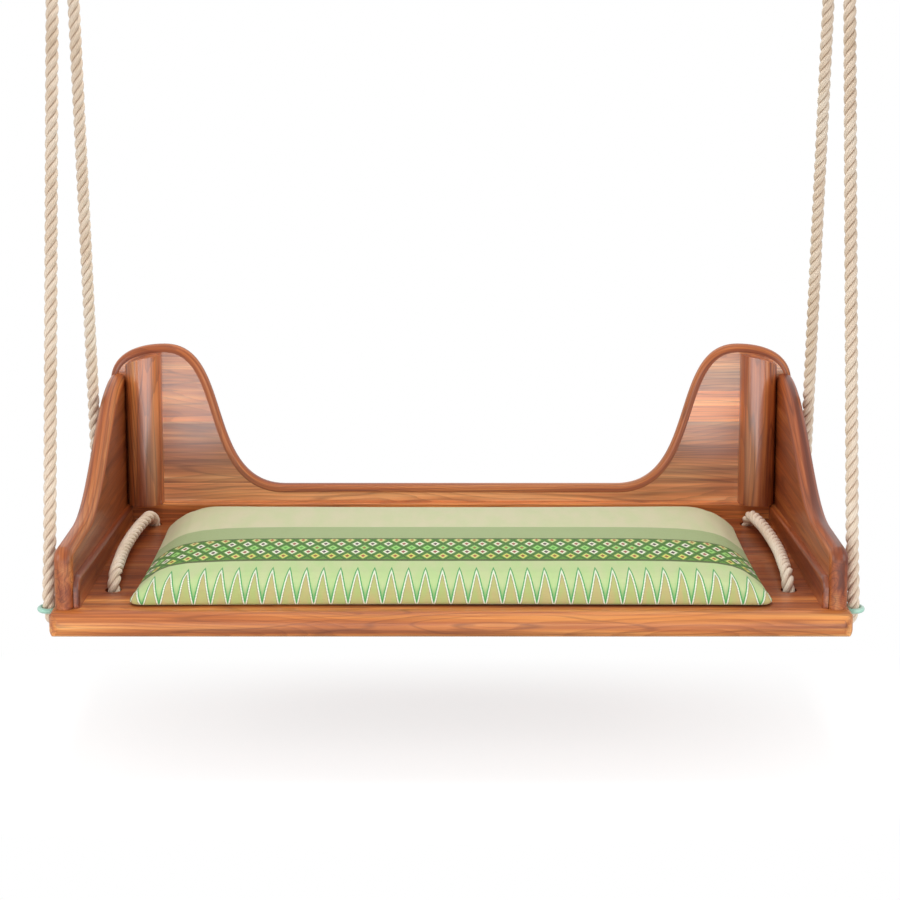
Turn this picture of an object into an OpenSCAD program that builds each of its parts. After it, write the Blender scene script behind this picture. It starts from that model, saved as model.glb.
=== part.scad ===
// Hanging swing bed: a teak platform with a lobed back, hung on four rope
// legs from two ceiling fittings.
// +X is to the right of someone facing it, +Y runs from its front to its
// back and +Z is up. The origin is on the ceiling, midway between the fittings.

/* [Bed frame] */
// Overall width of the frame
bed_width = 1600; // [1400:10:1800]
// Overall depth of the frame, front nose to back nose
bed_depth = 780; // [760:5:900]
// Thickness of the frame rails
frame_thick = 52; // [50:1:60]
// Width of the front rail
front_rail_width = 115; // [100:5:140]
// Width of the back rail
back_rail_width = 90; // [80:5:120]
// Width of the two end rails
end_rail_width = 60; // [50:2:70]
// Radius of the front and back nosing, top edge
nose_top = 24; // [16:1:26]
// Radius of the front and back nosing, bottom edge
nose_bottom = 22; // [12:1:24]
// Radius of the nosing along the two ends
end_nose = 18; // [8:1:20]
// Corner radius of the frame seen from above
frame_corner = 34; // [12:1:40]

/* [Deck] */
// Thickness of the deck boards
deck_thick = 18; // [15:1:22]
// Number of deck boards
board_count = 5; // [4:1:7]
// Gap between deck boards
board_gap = 1; // [0.5:0.5:3]
// Width of the ledge that carries the board ends
ledge_width = 14; // [10:1:18]
// Number of bearers under the deck
bearer_count = 4; // [3:1:6]
// Width of a bearer
bearer_width = 40; // [30:2:60]
// Depth of a bearer below the deck boards
bearer_depth = 30; // [20:1:32]

/* [Back panel] */
// Thickness of the back panel
back_thick = 38; // [30:1:44]
// Height of the low middle of the back above the deck
back_low = 75; // [60:5:120]
// Height of the two lobes above the deck
lobe_height = 407; // [300:5:500]
// Distance from the outside of a lobe to its peak
lobe_peak = 126; // [100:2:160]
// Distance from the outside of a lobe to the foot of its curve
lobe_foot = 403; // [340:5:480]
// Height at which the outside of a lobe starts to round over
lobe_shoulder = 318; // [240:5:330]
// Rounding of the rim of the side panels
rim_round = 17; // [6:1:17]
// Rounding of the rim of the back panel
back_rim_round = 17; // [6:1:18]

/* [Side panels] */
// Thickness of the side panels
side_thick = 38; // [35:1:40]
// Distance from the frame's end to a side panel's outer face
side_inset = 11; // [10:1:30]
// Distance from the frame's front to a side panel's front end
side_front_inset = 24; // [22:1:60]
// Height of the front of a side panel above the deck
side_low = 124; // [90:2:180]
// Height of the back of a side panel above the deck
side_high = 340; // [250:5:345]
// Distance from the frame's back edge to the back panel's outer face
back_inset = 30; // [24:1:50]

/* [Posts and plinths] */
// Width of a corner post
post_width = 83; // [83:1:100]
// Depth of a corner post in front of the back panel
post_depth = 46; // [24:1:50]
// Radius of a corner post's two rounded edges
post_round = 40; // [12:1:41]
// Height of the plinth along the back
plinth_height = 36; // [24:1:50]
// Depth of the plinth along the back
plinth_depth = 16; // [10:1:22]
// Height of a side plinth at its front end
plinth_front_height = 64; // [40:1:80]
// Thickness of a side plinth
side_plinth_thick = 12; // [10:1:18]

/* [Rope and rings] */
// Diameter of the rope
rope_d = 24; // [20:1:24]
// Diameter of the bar that a ring is bent from
ring_bar = 10; // [8:0.5:10]
// Inner diameter of a ring
ring_inner = 28; // [27:0.5:30]
// Distance from the frame's end to the centre of a ring
ring_out = 9; // [8:0.5:14]
// Depth of a ring's centre below the deck
ring_drop = 14; // [13:0.5:16]
// Distance from the frame's front to the front rings
ring_front = 80; // [76:1:84]
// Distance from the frame's back to the rear rings
ring_rear_inset = 130; // [120:1:140]
// Diameter of a ring's screw shank
shank_d = 8; // [6:0.5:9]
// Length of a ring's screw shank
shank_length = 50; // [35:1:60]
// Diameter of a rope hole in the deck
rope_hole_d = 34; // [32:1:38]

/* [Hanging] */
// Height of the ceiling above the deck
hang_height = 2000; // [1900:10:2400]
// Distance from the frame's front to the hanging points
hang_y = 434.7; // [400:0.1:460]
// Diameter of the four hinge pins
pin_d = 12; // [10:0.5:14]
// Depth of the swing pin below the ceiling
swing_drop = 34; // [32:1:40]
// Depth of the sway pin below the swing pin
sway_drop = 36; // [35:1:44]
// Width of a ceiling plate, side to side
plate_width = 80; // [70:2:120]
// Length of a ceiling plate, front to back
plate_length = 120; // [100:2:160]
// Thickness of a ceiling plate
plate_thick = 6; // [4:0.5:10]
// Distance between screw holes, side to side
screw_pitch_x = 54; // [50:1:60]
// Distance between screw holes, front to back
screw_pitch_y = 90; // [84:1:92]
// Diameter of the screw holes
screw_hole_d = 8; // [5:0.5:10]
// Diameter of a rope socket
socket_d = 31; // [30:0.5:34]
// Length of a rope socket
socket_length = 60; // [50:1:90]
// Distance from the sway pin to the top of a rope socket
socket_drop = 56; // [52:1:70]

/* [Cushion] */
// Distance from the frame's end to the cushion
cushion_side = 155; // [150:1:260]
// Distance from the cushion to the back plinth
cushion_back_gap = 18; // [4:1:60]
// Thickness of the cushion at its crown
cushion_thick = 64; // [50:1:90]
// Distance from the frame's front to the cushion
cushion_front = 46; // [45:1:80]
// Corner radius of the cushion seen from above
cushion_corner = 22; // [14:1:40]

/* [Fits] */
// Radial clearance of a running fit
running = 0.05; // [0.02:0.01:0.1]
// Clearance between soft parts and what they touch
soft_gap = 0.3; // [0.2:0.1:0.6]
// Side clearance of the hinge eyes
eye_gap = 0.4; // [0.3:0.1:0.8]

/* [Hidden] */
$fn = 64;

teak = [0.62, 0.34, 0.17];
dark_teak = [0.5, 0.27, 0.14];
rope_cream = [0.86, 0.77, 0.63];
mint = [0.62, 0.84, 0.74];
steel = [0.72, 0.73, 0.74];
leaf_green = [0.6, 0.72, 0.42];
foam = [0.93, 0.9, 0.78];

left = -1;
right = 1;
cut = 1;                                   // how far a cut runs past a face

// Frame
half_width = bed_width / 2;
deck_front = front_rail_width;
deck_back = bed_depth - back_rail_width;
deck_half = half_width - end_rail_width;
board_width = (deck_back - deck_front - (board_count + 1) * board_gap) / board_count;
bearer_inset = 160;                        // from the deck's end to the last bearer
bearer_span = 2 * (deck_half - bearer_inset);
bearer_step = bearer_span / (bearer_count - 1);

// Panels, posts and plinths
side_outer = half_width - side_inset;
side_inner = side_outer - side_thick;
back_face = bed_depth - back_inset - back_thick;
post_top_margin = 20;
plinth_face = back_face - plinth_depth;
plinth_round = 4;
side_plinth_round = 9;

// Rope at the right hand side of the bed. X and Y are measured from the ring
// that the stretch starts or ends at, and Z from the top of the deck.
rope_r = rope_d / 2;
rope_sides = 10;
ring_x = half_width + ring_out;
ring_rear = bed_depth - ring_rear_inset;
ring_r = ring_inner / 2 + ring_bar / 2;
under_front = [[-3, 2, -30], [-12, 8, -46], [-25, 16, -56], [-40, 26, -60], [-59, 39, -60],
    [-79, 52, -60], [-93, 61, -57], [-105, 69, -47], [-113, 74, -33], [-116, 76, -13]];
over_front = [[-116, 80.5, 2], [-116, 87, 13], [-116, 96.5, 21], [-115.5, 107.5, 27],
    [-115, 124, 30], [-113, 155, 30], [-110, 198, 29], [-107, 242, 28], [-105.5, 286, 27.5]];
over_rear = [[-105.5, -240, 27.5], [-106.5, -195, 28], [-109, -148, 29], [-113, -104, 30],
    [-117, -72, 30], [-120, -49, 30], [-123, -32.5, 27], [-125, -21.5, 21],
    [-126.5, -12, 13], [-127, -5.5, 2]];
under_rear = [[-127, -1, -10], [-123, 0, -30], [-113, 0, -46], [-97, 0, -56], [-79, 0, -60],
    [-48, 0, -60], [-30, 0, -56], [-14, 0, -46], [-4, 0, -30]];
rope_ring_front = [ring_x, ring_front, -ring_drop];
rope_ring_rear = [ring_x, ring_rear, -ring_drop];
rope_run = concat([rope_ring_front],
    [for (p = concat(under_front, over_front)) p + [ring_x, ring_front, 0]],
    [for (p = concat(over_rear, under_rear)) p + [ring_x, ring_rear, 0]],
    [rope_ring_rear]);
rope_groove_r = rope_r + 1.5;
groove_depth = 60;                         // the rope's centre below the deck
mouth_bend = 48;                           // radius of the rope's turn at a ring
hole_front = [ring_x - 116, ring_front + 76];   // rope holes in the deck
hole_rear = [ring_x - 127, ring_rear - 1];
leg_gap = 0.9;                             // between a leg and the run it joins
hang_x = half_width + 15;                  // the hanging point, from the centre

// Hanging fittings
swing_z = hang_height - swing_drop;
sway_z = swing_z - sway_drop;
pin_r = pin_d / 2;
eye_r = pin_r + 7;
eye_thick = 10;
ear_thick = 8;
tongue_thick = 14;
tongue_gap = 0.4;
fork_inner = eye_thick + 2 * eye_gap + 4;  // half the fork's opening
eye_y = fork_inner - eye_gap - eye_thick / 2;
bridge_thick = 8;
bridge_gap = 0.6;
pin_head = 3;
pin_head_r = pin_r + 3;
socket_wall_top = 10;
neck_width = 18;

// Dowels
dowel_r = 4;
dowel_length = 40;
dowel_drop = 13;
dowel_inset = 45;
panel_dowel_r = 5;
panel_dowel_length = 40;
back_dowels = 5;
back_dowel_margin = 190;
side_dowel_y = [deck_front + 10, bed_depth / 2, ring_rear - 50];

// Cushion
cushion_width = bed_width - 2 * cushion_side;
cushion_depth = plinth_face - cushion_back_gap - cushion_front;
corner_steps = 6;                          // stretches around each corner
side_steps = 8;                            // stretches along each side
cushion_pull = 6;                          // how far the long sides draw in
core_margin = 78;
core_base = 14;
core_thick = 26;
core_corner = 30;
corner_growth = 0.6;                       // how much rounder the corners get inwards
// Each loop of the cushion's surface: inset from the front edge, from the two
// ends and from the back edge, and height as a share. The ends slope the most.
cushion_loops = [[7, 7, 7, 0], [1, 1, 1, 0.05], [0, 2, 0, 0.14], [1, 13, 2, 0.3],
    [4, 29, 9, 0.46], [10, 47, 34, 0.62], [22, 70, 68, 0.76], [44, 104, 104, 0.87],
    [84, 150, 142, 0.94], [140, 215, 190, 0.98], [205, 290, 245, 0.995]];

// ---------------------------------------------------------------- helpers

// Everything below is drawn from the front centre of the deck's top.
module at_bed() {
    translate([0, -hang_y, -hang_height]) children();
}

module on_side(side) {
    if (side == right) children();
    else mirror([1, 0, 0]) children();
}

function mix(a, b, t) = a + (b - a) * t;

function bezier(a, b, c, d, t) =
    pow(1 - t, 3) * a + 3 * t * pow(1 - t, 2) * b + 3 * t * t * (1 - t) * c + pow(t, 3) * d;

function curve(a, b, c, d, steps) = [for (i = [0 : steps]) bezier(a, b, c, d, i / steps)];

function unit(v) = v / max(norm(v), 1e-9);

// Outward normals of an open outline that runs clockwise from its first foot
// to its last. Its two feet stay level, so they only move sideways.
function outline_normals(p) = [for (i = [0 : len(p) - 1])
    let (a = p[max(i - 1, 0)], b = p[min(i + 1, len(p) - 1)], d = unit(b - a))
    i == 0 || i == len(p) - 1 ? [sign(-d[1]) * abs(d[1]), 0] : [-d[1], d[0]]];

// Depth and inset of each layer of a panel with both rims rounded, or only
// the far one.
function rim_layers(thick, r, steps, both) = concat(
    both ? [for (i = [0 : steps]) [r * (1 - cos(90 * i / steps)), r * (1 - sin(90 * i / steps))]] : [[0, 0]],
    [for (i = [0 : steps]) [thick - r * (1 - sin(90 * i / steps)), r * (1 - cos(90 * i / steps))]]);

// A flat board in the XZ plane, running back from Y = 0, with rounded rims.
// Its foot has a point below each point of its top, so that strips fill it.
module rimmed_board(outline, normals, thick, r, steps = 3, both = true) {
    layers = rim_layers(thick, r, steps, both);
    n = len(outline);
    m = 2 * n - 4;
    points = [for (layer = layers) for (i = [0 : m - 1])
        let (k = i < n ? i : 2 * n - 3 - i, p = outline[k] - normals[k] * layer[1])
        [p[0], layer[0], i < n ? p[1] : 0]];
    walls = [for (k = [0 : len(layers) - 2]) for (i = [0 : m - 1])
        let (j = (i + 1) % m) [k * m + i, k * m + j, (k + 1) * m + j, (k + 1) * m + i]];
    strips = concat([[0, 1, 2, m - 1]],
        [for (i = [2 : n - 4]) [i, i + 1, m - i, m + 1 - i]],
        [[n - 3, n - 2, n - 1, n]]);
    front = [for (strip = strips) [for (i = [3 : -1 : 0]) strip[i]]];
    back = [for (strip = strips) [for (i = strip) (len(layers) - 1) * m + i]];
    polyhedron(points, concat(front, walls, back), convexity = 6);
}

// One sideways direction for each tangent, each turned as little as it can be
// from the one before, so that a swept tube doesn't twist.
function sideways(t, i = 0, u = [0, 1, 0]) = i == len(t) ? [] :
    let (v = unit(u - (u * t[i]) * t[i])) concat([v], sideways(t, i + 1, v));

// A tube that follows a list of points and sets off and ends in given directions.
module swept_tube(path, r, sides, first_way, last_way) {
    n = len(path);
    tangents = [for (i = [0 : n - 1])
        i == 0 ? first_way : i == n - 1 ? last_way : unit(path[i + 1] - path[i - 1])];
    across = sideways(tangents);
    points = [for (i = [0 : n - 1]) for (k = [0 : sides - 1])
        path[i] + r * (cos(360 * k / sides) * across[i]
                       + sin(360 * k / sides) * cross(tangents[i], across[i]))];
    walls = [for (i = [0 : n - 2]) for (k = [0 : sides - 1])
        let (m = (k + 1) % sides)
        [i * sides + k, (i + 1) * sides + k, (i + 1) * sides + m, i * sides + m]];
    first = [for (k = [0 : sides - 1]) k];
    last = [for (k = [0 : sides - 1]) n * sides - 1 - k];
    polyhedron(points, concat([first], walls, [last]), convexity = 8);
}

// Stands its children at a point with their Z axis towards another.
module toward(from, to) {
    d = unit(to - from);
    translate(from) rotate([0, acos(d[2]), atan2(d[1], d[0])]) children();
}

// A rectangle with its own radius at each corner, from its low corner.
module rounded_rect(size, low_left, low_right, high_left, high_right) {
    corners = [[0, 0, low_left], [1, 0, low_right], [0, 1, high_left], [1, 1, high_right]];
    difference() {
        square(size);
        for (c = corners) if (c[2] > 0) translate([c[0] * size[0], c[1] * size[1]])
            mirror([c[0], 0]) mirror([0, c[1]]) difference() {
                translate([-cut, -cut]) square(c[2] + cut);
                translate([c[2], c[2]]) circle(c[2]);
            }
    }
}

// -------------------------------------------------------------- bed frame

// The whole frame's outside shape, as one slab with its nosings.
module frame_slab() {
    intersection() {
        translate([-half_width, 0, -frame_thick]) rotate([90, 0, 90])
            linear_extrude(bed_width)
                rounded_rect([bed_depth, frame_thick], nose_bottom, nose_bottom, nose_top, nose_top);
        translate([-half_width, bed_depth, -frame_thick]) rotate([90, 0, 0])
            linear_extrude(bed_depth)
                rounded_rect([bed_width, frame_thick], end_nose, end_nose, end_nose, end_nose);
        translate([-half_width, 0, -frame_thick]) linear_extrude(frame_thick)
            rounded_rect([bed_width, bed_depth], frame_corner, frame_corner, frame_corner, frame_corner);
    }
}

// The slot under the frame that a rope lies in, and its mouth below a ring.
module rope_groove(ring_y, hole) {
    reach = 190;
    translate([ring_x, ring_y, 0]) rotate([0, 0, atan2(hole[1] - ring_y, hole[0] - ring_x)]) {
        translate([mouth_bend, 0, -groove_depth]) rotate([0, 90, 0]) cylinder(h = reach, r = rope_groove_r);
        translate([mouth_bend, -rope_groove_r, -groove_depth - frame_thick])
            cube([reach, 2 * rope_groove_r, frame_thick]);
        translate([mouth_bend, 0, mouth_bend - groove_depth]) rotate([90, 0, 0])
            rotate([0, 0, 180]) rotate_extrude(angle = 90) translate([mouth_bend, 0]) circle(rope_groove_r);
        translate([-rope_groove_r, -rope_groove_r, -groove_depth - frame_thick])
            cube([mouth_bend + rope_groove_r, 2 * rope_groove_r, frame_thick + groove_depth - mouth_bend + 6]);
    }
}

// The scallop and screw hole that a ring sits in.
module ring_seat(ring_y) {
    translate([ring_x, ring_y, -ring_drop - ring_bar / 2 - soft_gap])
        cylinder(h = frame_thick, r = ring_r + ring_bar / 2 + soft_gap);
    translate([ring_x - ring_r - shank_length, ring_y, -ring_drop]) rotate([0, 90, 0])
        cylinder(h = shank_length, d = shank_d);
}

module rope_cuts() {
    for (side = [left, right]) on_side(side) {
        rope_groove(ring_front, hole_front);
        rope_groove(ring_rear, hole_rear);
        ring_seat(ring_front);
        ring_seat(ring_rear);
    }
}

module frame_dowel(side, y, clearance = 0) {
    translate([side * (half_width - dowel_inset), y - dowel_length / 2, -dowel_drop]) rotate([-90, 0, 0])
        cylinder(h = dowel_length, r = dowel_r + clearance);
}

module panel_dowel(x, y) {
    translate([x, y, -panel_dowel_length / 2]) cylinder(h = panel_dowel_length, r = panel_dowel_r);
}

module all_frame_dowels() {
    for (side = [left, right]) {
        frame_dowel(side, deck_front);
        frame_dowel(side, deck_back);
    }
}

module all_panel_dowels() {
    step = 2 * (half_width - back_dowel_margin) / (back_dowels - 1);
    for (i = [0 : back_dowels - 1])
        panel_dowel(-half_width + back_dowel_margin + i * step, back_face + back_thick / 2);
    for (side = [left, right]) for (y = side_dowel_y)
        panel_dowel(side * (side_outer - side_thick / 2), y);
}

module frame_piece(low, high) {
    at_bed() difference() {
        intersection() {
            frame_slab();
            translate(low) cube(high - low);
        }
        children();
        rope_cuts();
        all_frame_dowels();
        all_panel_dowels();
    }
}

// The recess for the deck boards, over the ledge that carries their ends.
module deck_recess() {
    translate([-deck_half, deck_front, -deck_thick])
        cube([2 * deck_half, deck_back - deck_front, deck_thick + cut]);
}

module front_rail() {
    color(teak) frame_piece(
        [-half_width, 0, -frame_thick], [half_width, deck_front + ledge_width, 0]) {
        deck_recess();
        for (side = [left, right]) on_side(side)
            translate([deck_half - ledge_width, deck_front, -frame_thick - cut])
                cube([end_rail_width + ledge_width + cut, ledge_width + cut, frame_thick + 2 * cut]);
    }
}

module back_rail() {
    color(teak) frame_piece(
        [-half_width, deck_back - ledge_width, -frame_thick], [half_width, bed_depth, 0]) {
        deck_recess();
        for (side = [left, right]) on_side(side)
            translate([deck_half - ledge_width, deck_back - ledge_width - cut, -frame_thick - cut])
                cube([end_rail_width + ledge_width + cut, ledge_width + cut, frame_thick + 2 * cut]);
    }
}

module end_rail(side) {
    inner = deck_half - ledge_width;
    low_x = side == right ? inner : -half_width;
    high_x = side == right ? half_width : -inner;
    color(teak) frame_piece([low_x, deck_front, -frame_thick], [high_x, deck_back, 0]) deck_recess();
}

module deck_boards() {
    color(dark_teak) at_bed() difference() {
        for (i = [0 : board_count - 1])
            translate([-deck_half, deck_front + board_gap + i * (board_width + board_gap), -deck_thick])
                cube([2 * deck_half, board_width, deck_thick]);
        for (side = [left, right]) on_side(side) for (hole = [hole_front, hole_rear])
            translate([hole[0], hole[1], -deck_thick - cut]) cylinder(h = deck_thick + 2 * cut, d = rope_hole_d);
    }
}

module bearers() {
    color(dark_teak) at_bed() for (i = [0 : bearer_count - 1])
        translate([-bearer_span / 2 + i * bearer_step - bearer_width / 2,
                   deck_front + ledge_width, -deck_thick - bearer_depth])
            cube([bearer_width, deck_back - deck_front - 2 * ledge_width, bearer_depth]);
}

module frame_dowels() {
    color(dark_teak) at_bed() all_frame_dowels();
}

module panel_dowels() {
    color(dark_teak) at_bed() all_panel_dowels();
}

// ----------------------------------------------------------------- panels

lobe_half = side_outer;
peak_x = lobe_half - lobe_peak;
foot_x = lobe_half - lobe_foot;
lobe_run = peak_x - foot_x;
low_ease = 0.7;                            // how far the curve stays low, and high
high_ease = 0.59;
shoulder_ease = 0.56;
// Right half of the back's outline, from the low middle out and down.
back_half = concat(
    curve([foot_x, back_low], [foot_x + low_ease * lobe_run, back_low],
          [peak_x - high_ease * lobe_run, lobe_height], [peak_x, lobe_height], 14),
    [for (i = [1 : 10]) bezier([peak_x, lobe_height],
          [peak_x + shoulder_ease * lobe_peak, lobe_height],
          [lobe_half, mix(lobe_height, lobe_shoulder, 0.3)], [lobe_half, lobe_shoulder], i / 10)],
    [[lobe_half, 0]]);
back_outline = concat(
    [for (i = [len(back_half) - 1 : -1 : 0]) [-back_half[i][0], back_half[i][1]]],
    back_half);

front_round = 26;
// A side panel's outline, from its front foot over to its back foot.
side_outline = concat(
    [[side_front_inset, 0]],
    [for (i = [0 : 4]) [side_front_inset + front_round * (1 - cos(90 * i / 4)),
                        side_low - front_round * (1 - sin(90 * i / 4))]],
    curve([0.3 * back_face, side_low], [0.57 * back_face, side_low],
          [0.7 * back_face, side_high - 10], [back_face, side_high], 14),
    [[back_face, 0]]);
// The back end stands square against the back panel, so it isn't rounded.
side_normals = let (n = outline_normals(side_outline), last = len(n) - 1)
    [for (i = [0 : last]) i == last ? [0, 0] : i == last - 1 ? [0, 1] : n[i]];

module back_panel() {
    color(teak) at_bed() difference() {
        translate([0, back_face, 0])
            rimmed_board(back_outline, outline_normals(back_outline), back_thick, back_rim_round);
        all_panel_dowels();
    }
}

module side_panel(side) {
    color(teak) at_bed() difference() {
        on_side(side) translate([side_outer, 0, 0]) rotate([0, 0, 90])
            rimmed_board(side_outline, side_normals, side_thick, rim_round);
        all_panel_dowels();
    }
}

module corner_post(side) {
    inset_outline = let (n = outline_normals(back_outline))
        [for (i = [0 : len(back_outline) - 1]) back_outline[i] - post_top_margin * n[i]];
    color(dark_teak) at_bed() on_side(side) intersection() {
        translate([side_inner - post_width, back_face - post_depth, plinth_height])
            linear_extrude(lobe_height)
                rounded_rect([post_width, post_depth], post_round, post_round, 0, 0);
        translate([0, back_face + cut, 0]) rotate([90, 0, 0]) linear_extrude(post_depth + 2 * cut)
            polygon(inset_outline);
    }
}

module back_plinth() {
    color(teak) at_bed() translate([-side_inner, plinth_face, 0]) rotate([90, 0, 90])
        linear_extrude(2 * side_inner)
            rounded_rect([plinth_depth, plinth_height], 0, 0, plinth_round, 0);
}

// Its top edge rises from the back plinth's height to its own front height.
module side_plinth(side) {
    front = side_front_inset + 10;
    outline = [[front, 0], [front, plinth_front_height - 24],
        [front + 4, plinth_front_height - 12], [front + 12, plinth_front_height - 3],
        [front + 24, plinth_front_height],
        [back_face - post_depth, plinth_height], [plinth_face, plinth_height],
        [plinth_face, 0]];
    n = outline_normals(outline);
    normals = [n[0], n[1], n[2], n[3], n[4], n[5], [0, 1], [0, 0]];
    color(teak) at_bed() on_side(side) translate([side_inner, 0, 0]) rotate([0, 0, 90])
        rimmed_board(outline, normals, side_plinth_thick, side_plinth_round, both = false);
}

// ------------------------------------------------------------------ rings

module ring_eye(side, y) {
    color(mint) at_bed() on_side(side) translate([ring_x, y, -ring_drop]) {
        rotate_extrude() translate([ring_r, 0]) circle(d = ring_bar);
        translate([-ring_r - shank_length, 0, 0]) rotate([0, 90, 0])
            cylinder(h = shank_length, d = shank_d);
    }
}

// ------------------------------------------------------------------- rope

function leg_top(eye) = [hang_x, hang_y + eye, sway_z];

// A leg runs straight from its ring to its socket's eye.
module rope_leg(side, ring, eye) {
    top = leg_top(eye);
    cover = socket_drop + socket_wall_top + soft_gap;
    color(rope_cream) at_bed() on_side(side) toward(top, ring)
        translate([0, 0, cover]) cylinder(h = norm(top - ring) - cover - leg_gap, r = rope_r);
}

module rope_run(side) {
    color(rope_cream) at_bed() on_side(side) swept_tube(rope_run, rope_r, rope_sides,
        unit(rope_ring_front - leg_top(-eye_y)), unit(leg_top(eye_y) - rope_ring_rear));
}

module rope_socket(ring, eye) {
    top = leg_top(eye);
    lean = atan2(ring[1] - top[1], top[2] - ring[2]);
    neck_end = socket_drop + 8;
    neck_half = 7;
    difference() {
        union() {
            translate(top) rotate([90, 0, 0]) cylinder(h = eye_thick, r = eye_r, center = true);
            // Neck from the eye down to the sleeve
            translate([top[0] - neck_width / 2, top[1], top[2]]) rotate([90, 0, 90])
                linear_extrude(neck_width) polygon([
                    [-eye_thick / 2, 0], [eye_thick / 2, 0], [eye_thick / 2, -eye_r],
                    [sin(lean) * neck_end + neck_half, -cos(lean) * neck_end],
                    [sin(lean) * neck_end - neck_half, -cos(lean) * neck_end],
                    [-eye_thick / 2, -eye_r]]);
            toward(top, ring) translate([0, 0, socket_drop]) cylinder(h = socket_length, d = socket_d);
        }
        translate(top) rotate([90, 0, 0])
            cylinder(h = 2 * eye_thick, r = pin_r + running, center = true);
        toward(top, ring) translate([0, 0, socket_drop + socket_wall_top])
            cylinder(h = socket_length, r = rope_r + soft_gap);
    }
}

module rope_sockets(side) {
    color(steel) at_bed() on_side(side) {
        rope_socket(rope_ring_front, -eye_y);
        rope_socket(rope_ring_rear, eye_y);
    }
}

// -------------------------------------------------------- hanging fittings

// A flat bar with a round end about the origin, reaching up to a height.
module lug(thick, height) {
    rotate([90, 0, 90]) linear_extrude(thick, center = true) {
        circle(eye_r);
        translate([-eye_r, 0]) square([2 * eye_r, height]);
    }
}

module ceiling_plate(side) {
    ear_x = tongue_thick / 2 + tongue_gap + ear_thick / 2;
    color(steel) at_bed() on_side(side) difference() {
        union() {
            translate([hang_x - plate_width / 2, hang_y - plate_length / 2, hang_height - plate_thick])
                linear_extrude(plate_thick) rounded_rect([plate_width, plate_length], 10, 10, 10, 10);
            for (s = [left, right]) translate([hang_x + s * ear_x, hang_y, swing_z])
                lug(ear_thick, swing_drop - plate_thick + cut);
        }
        translate([hang_x, hang_y, swing_z]) rotate([0, 90, 0])
            cylinder(h = 4 * ear_x, r = pin_r, center = true);
        for (sx = [left, right]) for (sy = [left, right])
            translate([hang_x + sx * screw_pitch_x / 2, hang_y + sy * screw_pitch_y / 2,
                       hang_height - plate_thick - cut])
                cylinder(h = plate_thick + 2 * cut, d = screw_hole_d);
    }
}

// A headed pin along Z, centred on the origin, for a grip of the given length.
module headed_pin(grip) {
    translate([0, 0, -grip / 2]) cylinder(h = grip + pin_head, r = pin_r);
    translate([0, 0, grip / 2]) cylinder(h = pin_head, r = pin_head_r);
    translate([0, 0, -grip / 2 - pin_head]) cylinder(h = pin_head, r = pin_head_r);
}

module swing_pin(side) {
    grip = tongue_thick + 2 * tongue_gap + 2 * ear_thick;
    color(steel) at_bed() on_side(side) translate([hang_x, hang_y, swing_z]) rotate([0, 90, 0])
        headed_pin(grip);
}

module sway_pin(side) {
    grip = 2 * (fork_inner + ear_thick);
    color(steel) at_bed() on_side(side) translate([hang_x, hang_y, sway_z]) rotate([90, 0, 0])
        headed_pin(grip);
}

// The link turns on the swing pin and holds the sway pin square to it.
module hanger_link(side) {
    bridge_low = sway_z + eye_r + bridge_gap;
    bridge_high = bridge_low + bridge_thick;
    fork_outer = fork_inner + ear_thick;
    color(steel) at_bed() on_side(side) difference() {
        union() {
            // Upper tongue
            translate([hang_x, hang_y, swing_z]) mirror([0, 0, 1])
                lug(tongue_thick, swing_z - bridge_low - cut);
            // Bridge over the two rope eyes
            translate([hang_x - eye_r, hang_y - fork_outer, bridge_low])
                cube([2 * eye_r, 2 * fork_outer, bridge_thick]);
            // Lower ears
            for (s = [left, right]) translate([hang_x, hang_y + s * (fork_inner + ear_thick / 2), sway_z])
                rotate([0, 0, 90]) lug(ear_thick, bridge_high - sway_z - cut);
        }
        translate([hang_x, hang_y, swing_z]) rotate([0, 90, 0])
            cylinder(h = 2 * tongue_thick, r = pin_r + running, center = true);
        translate([hang_x, hang_y, sway_z]) rotate([90, 0, 0])
            cylinder(h = 4 * fork_outer, r = pin_r, center = true);
    }
}

// ---------------------------------------------------------------- cushion

// One loop of the cushion seen from above, at its insets from the front, the
// ends and the back. Each corner is a quarter circle, and each side after it
// draws in at its middle.
function cushion_loop(inset, end_inset, back_inset) =
    let (w = cushion_width / 2 - end_inset, d = (cushion_depth - inset - back_inset) / 2,
         r = min(cushion_corner + end_inset * corner_growth, 0.8 * d),
         middle = (inset - back_inset) / 2,
         signs = [[1, 1], [-1, 1], [-1, -1], [1, -1]],
         corner = [for (q = [0 : 3]) [signs[q][0] * (w - r), middle + signs[q][1] * (d - r)]])
    [for (q = [0 : 3])
        let (out = [cos(90 * q + 90), sin(90 * q + 90)])
        for (p = concat(
            [for (i = [0 : corner_steps]) let (a = 90 * (q + i / corner_steps))
                corner[q] + r * [cos(a), sin(a)]],
            [for (k = [1 : side_steps - 1])
                mix(corner[q], corner[(q + 1) % 4], k / side_steps)
                + (r - cushion_pull * sin(180 * k / side_steps)) * out])) p];

module cushion_body() {
    loops = [for (c = cushion_loops) cushion_loop(c[0], c[1], c[2])];
    n = len(loops[0]);
    count = len(loops);
    around = [for (k = [0 : count - 1]) for (p = loops[k])
        [p[0], p[1], cushion_loops[k][3] * cushion_thick]];
    points = concat(around, [[0, 0, 0], [0, 0, cushion_thick]]);
    walls = [for (k = [0 : count - 2]) for (i = [0 : n - 1])
        let (j = (i + 1) % n) [k * n + i, (k + 1) * n + i, (k + 1) * n + j, k * n + j]];
    bottom = [for (i = [0 : n - 1]) [count * n, i, (i + 1) % n]];
    top = [for (i = [0 : n - 1]) [count * n + 1, (count - 1) * n + (i + 1) % n, (count - 1) * n + i]];
    polyhedron(points, concat(bottom, walls, top), convexity = 6);
}

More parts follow.
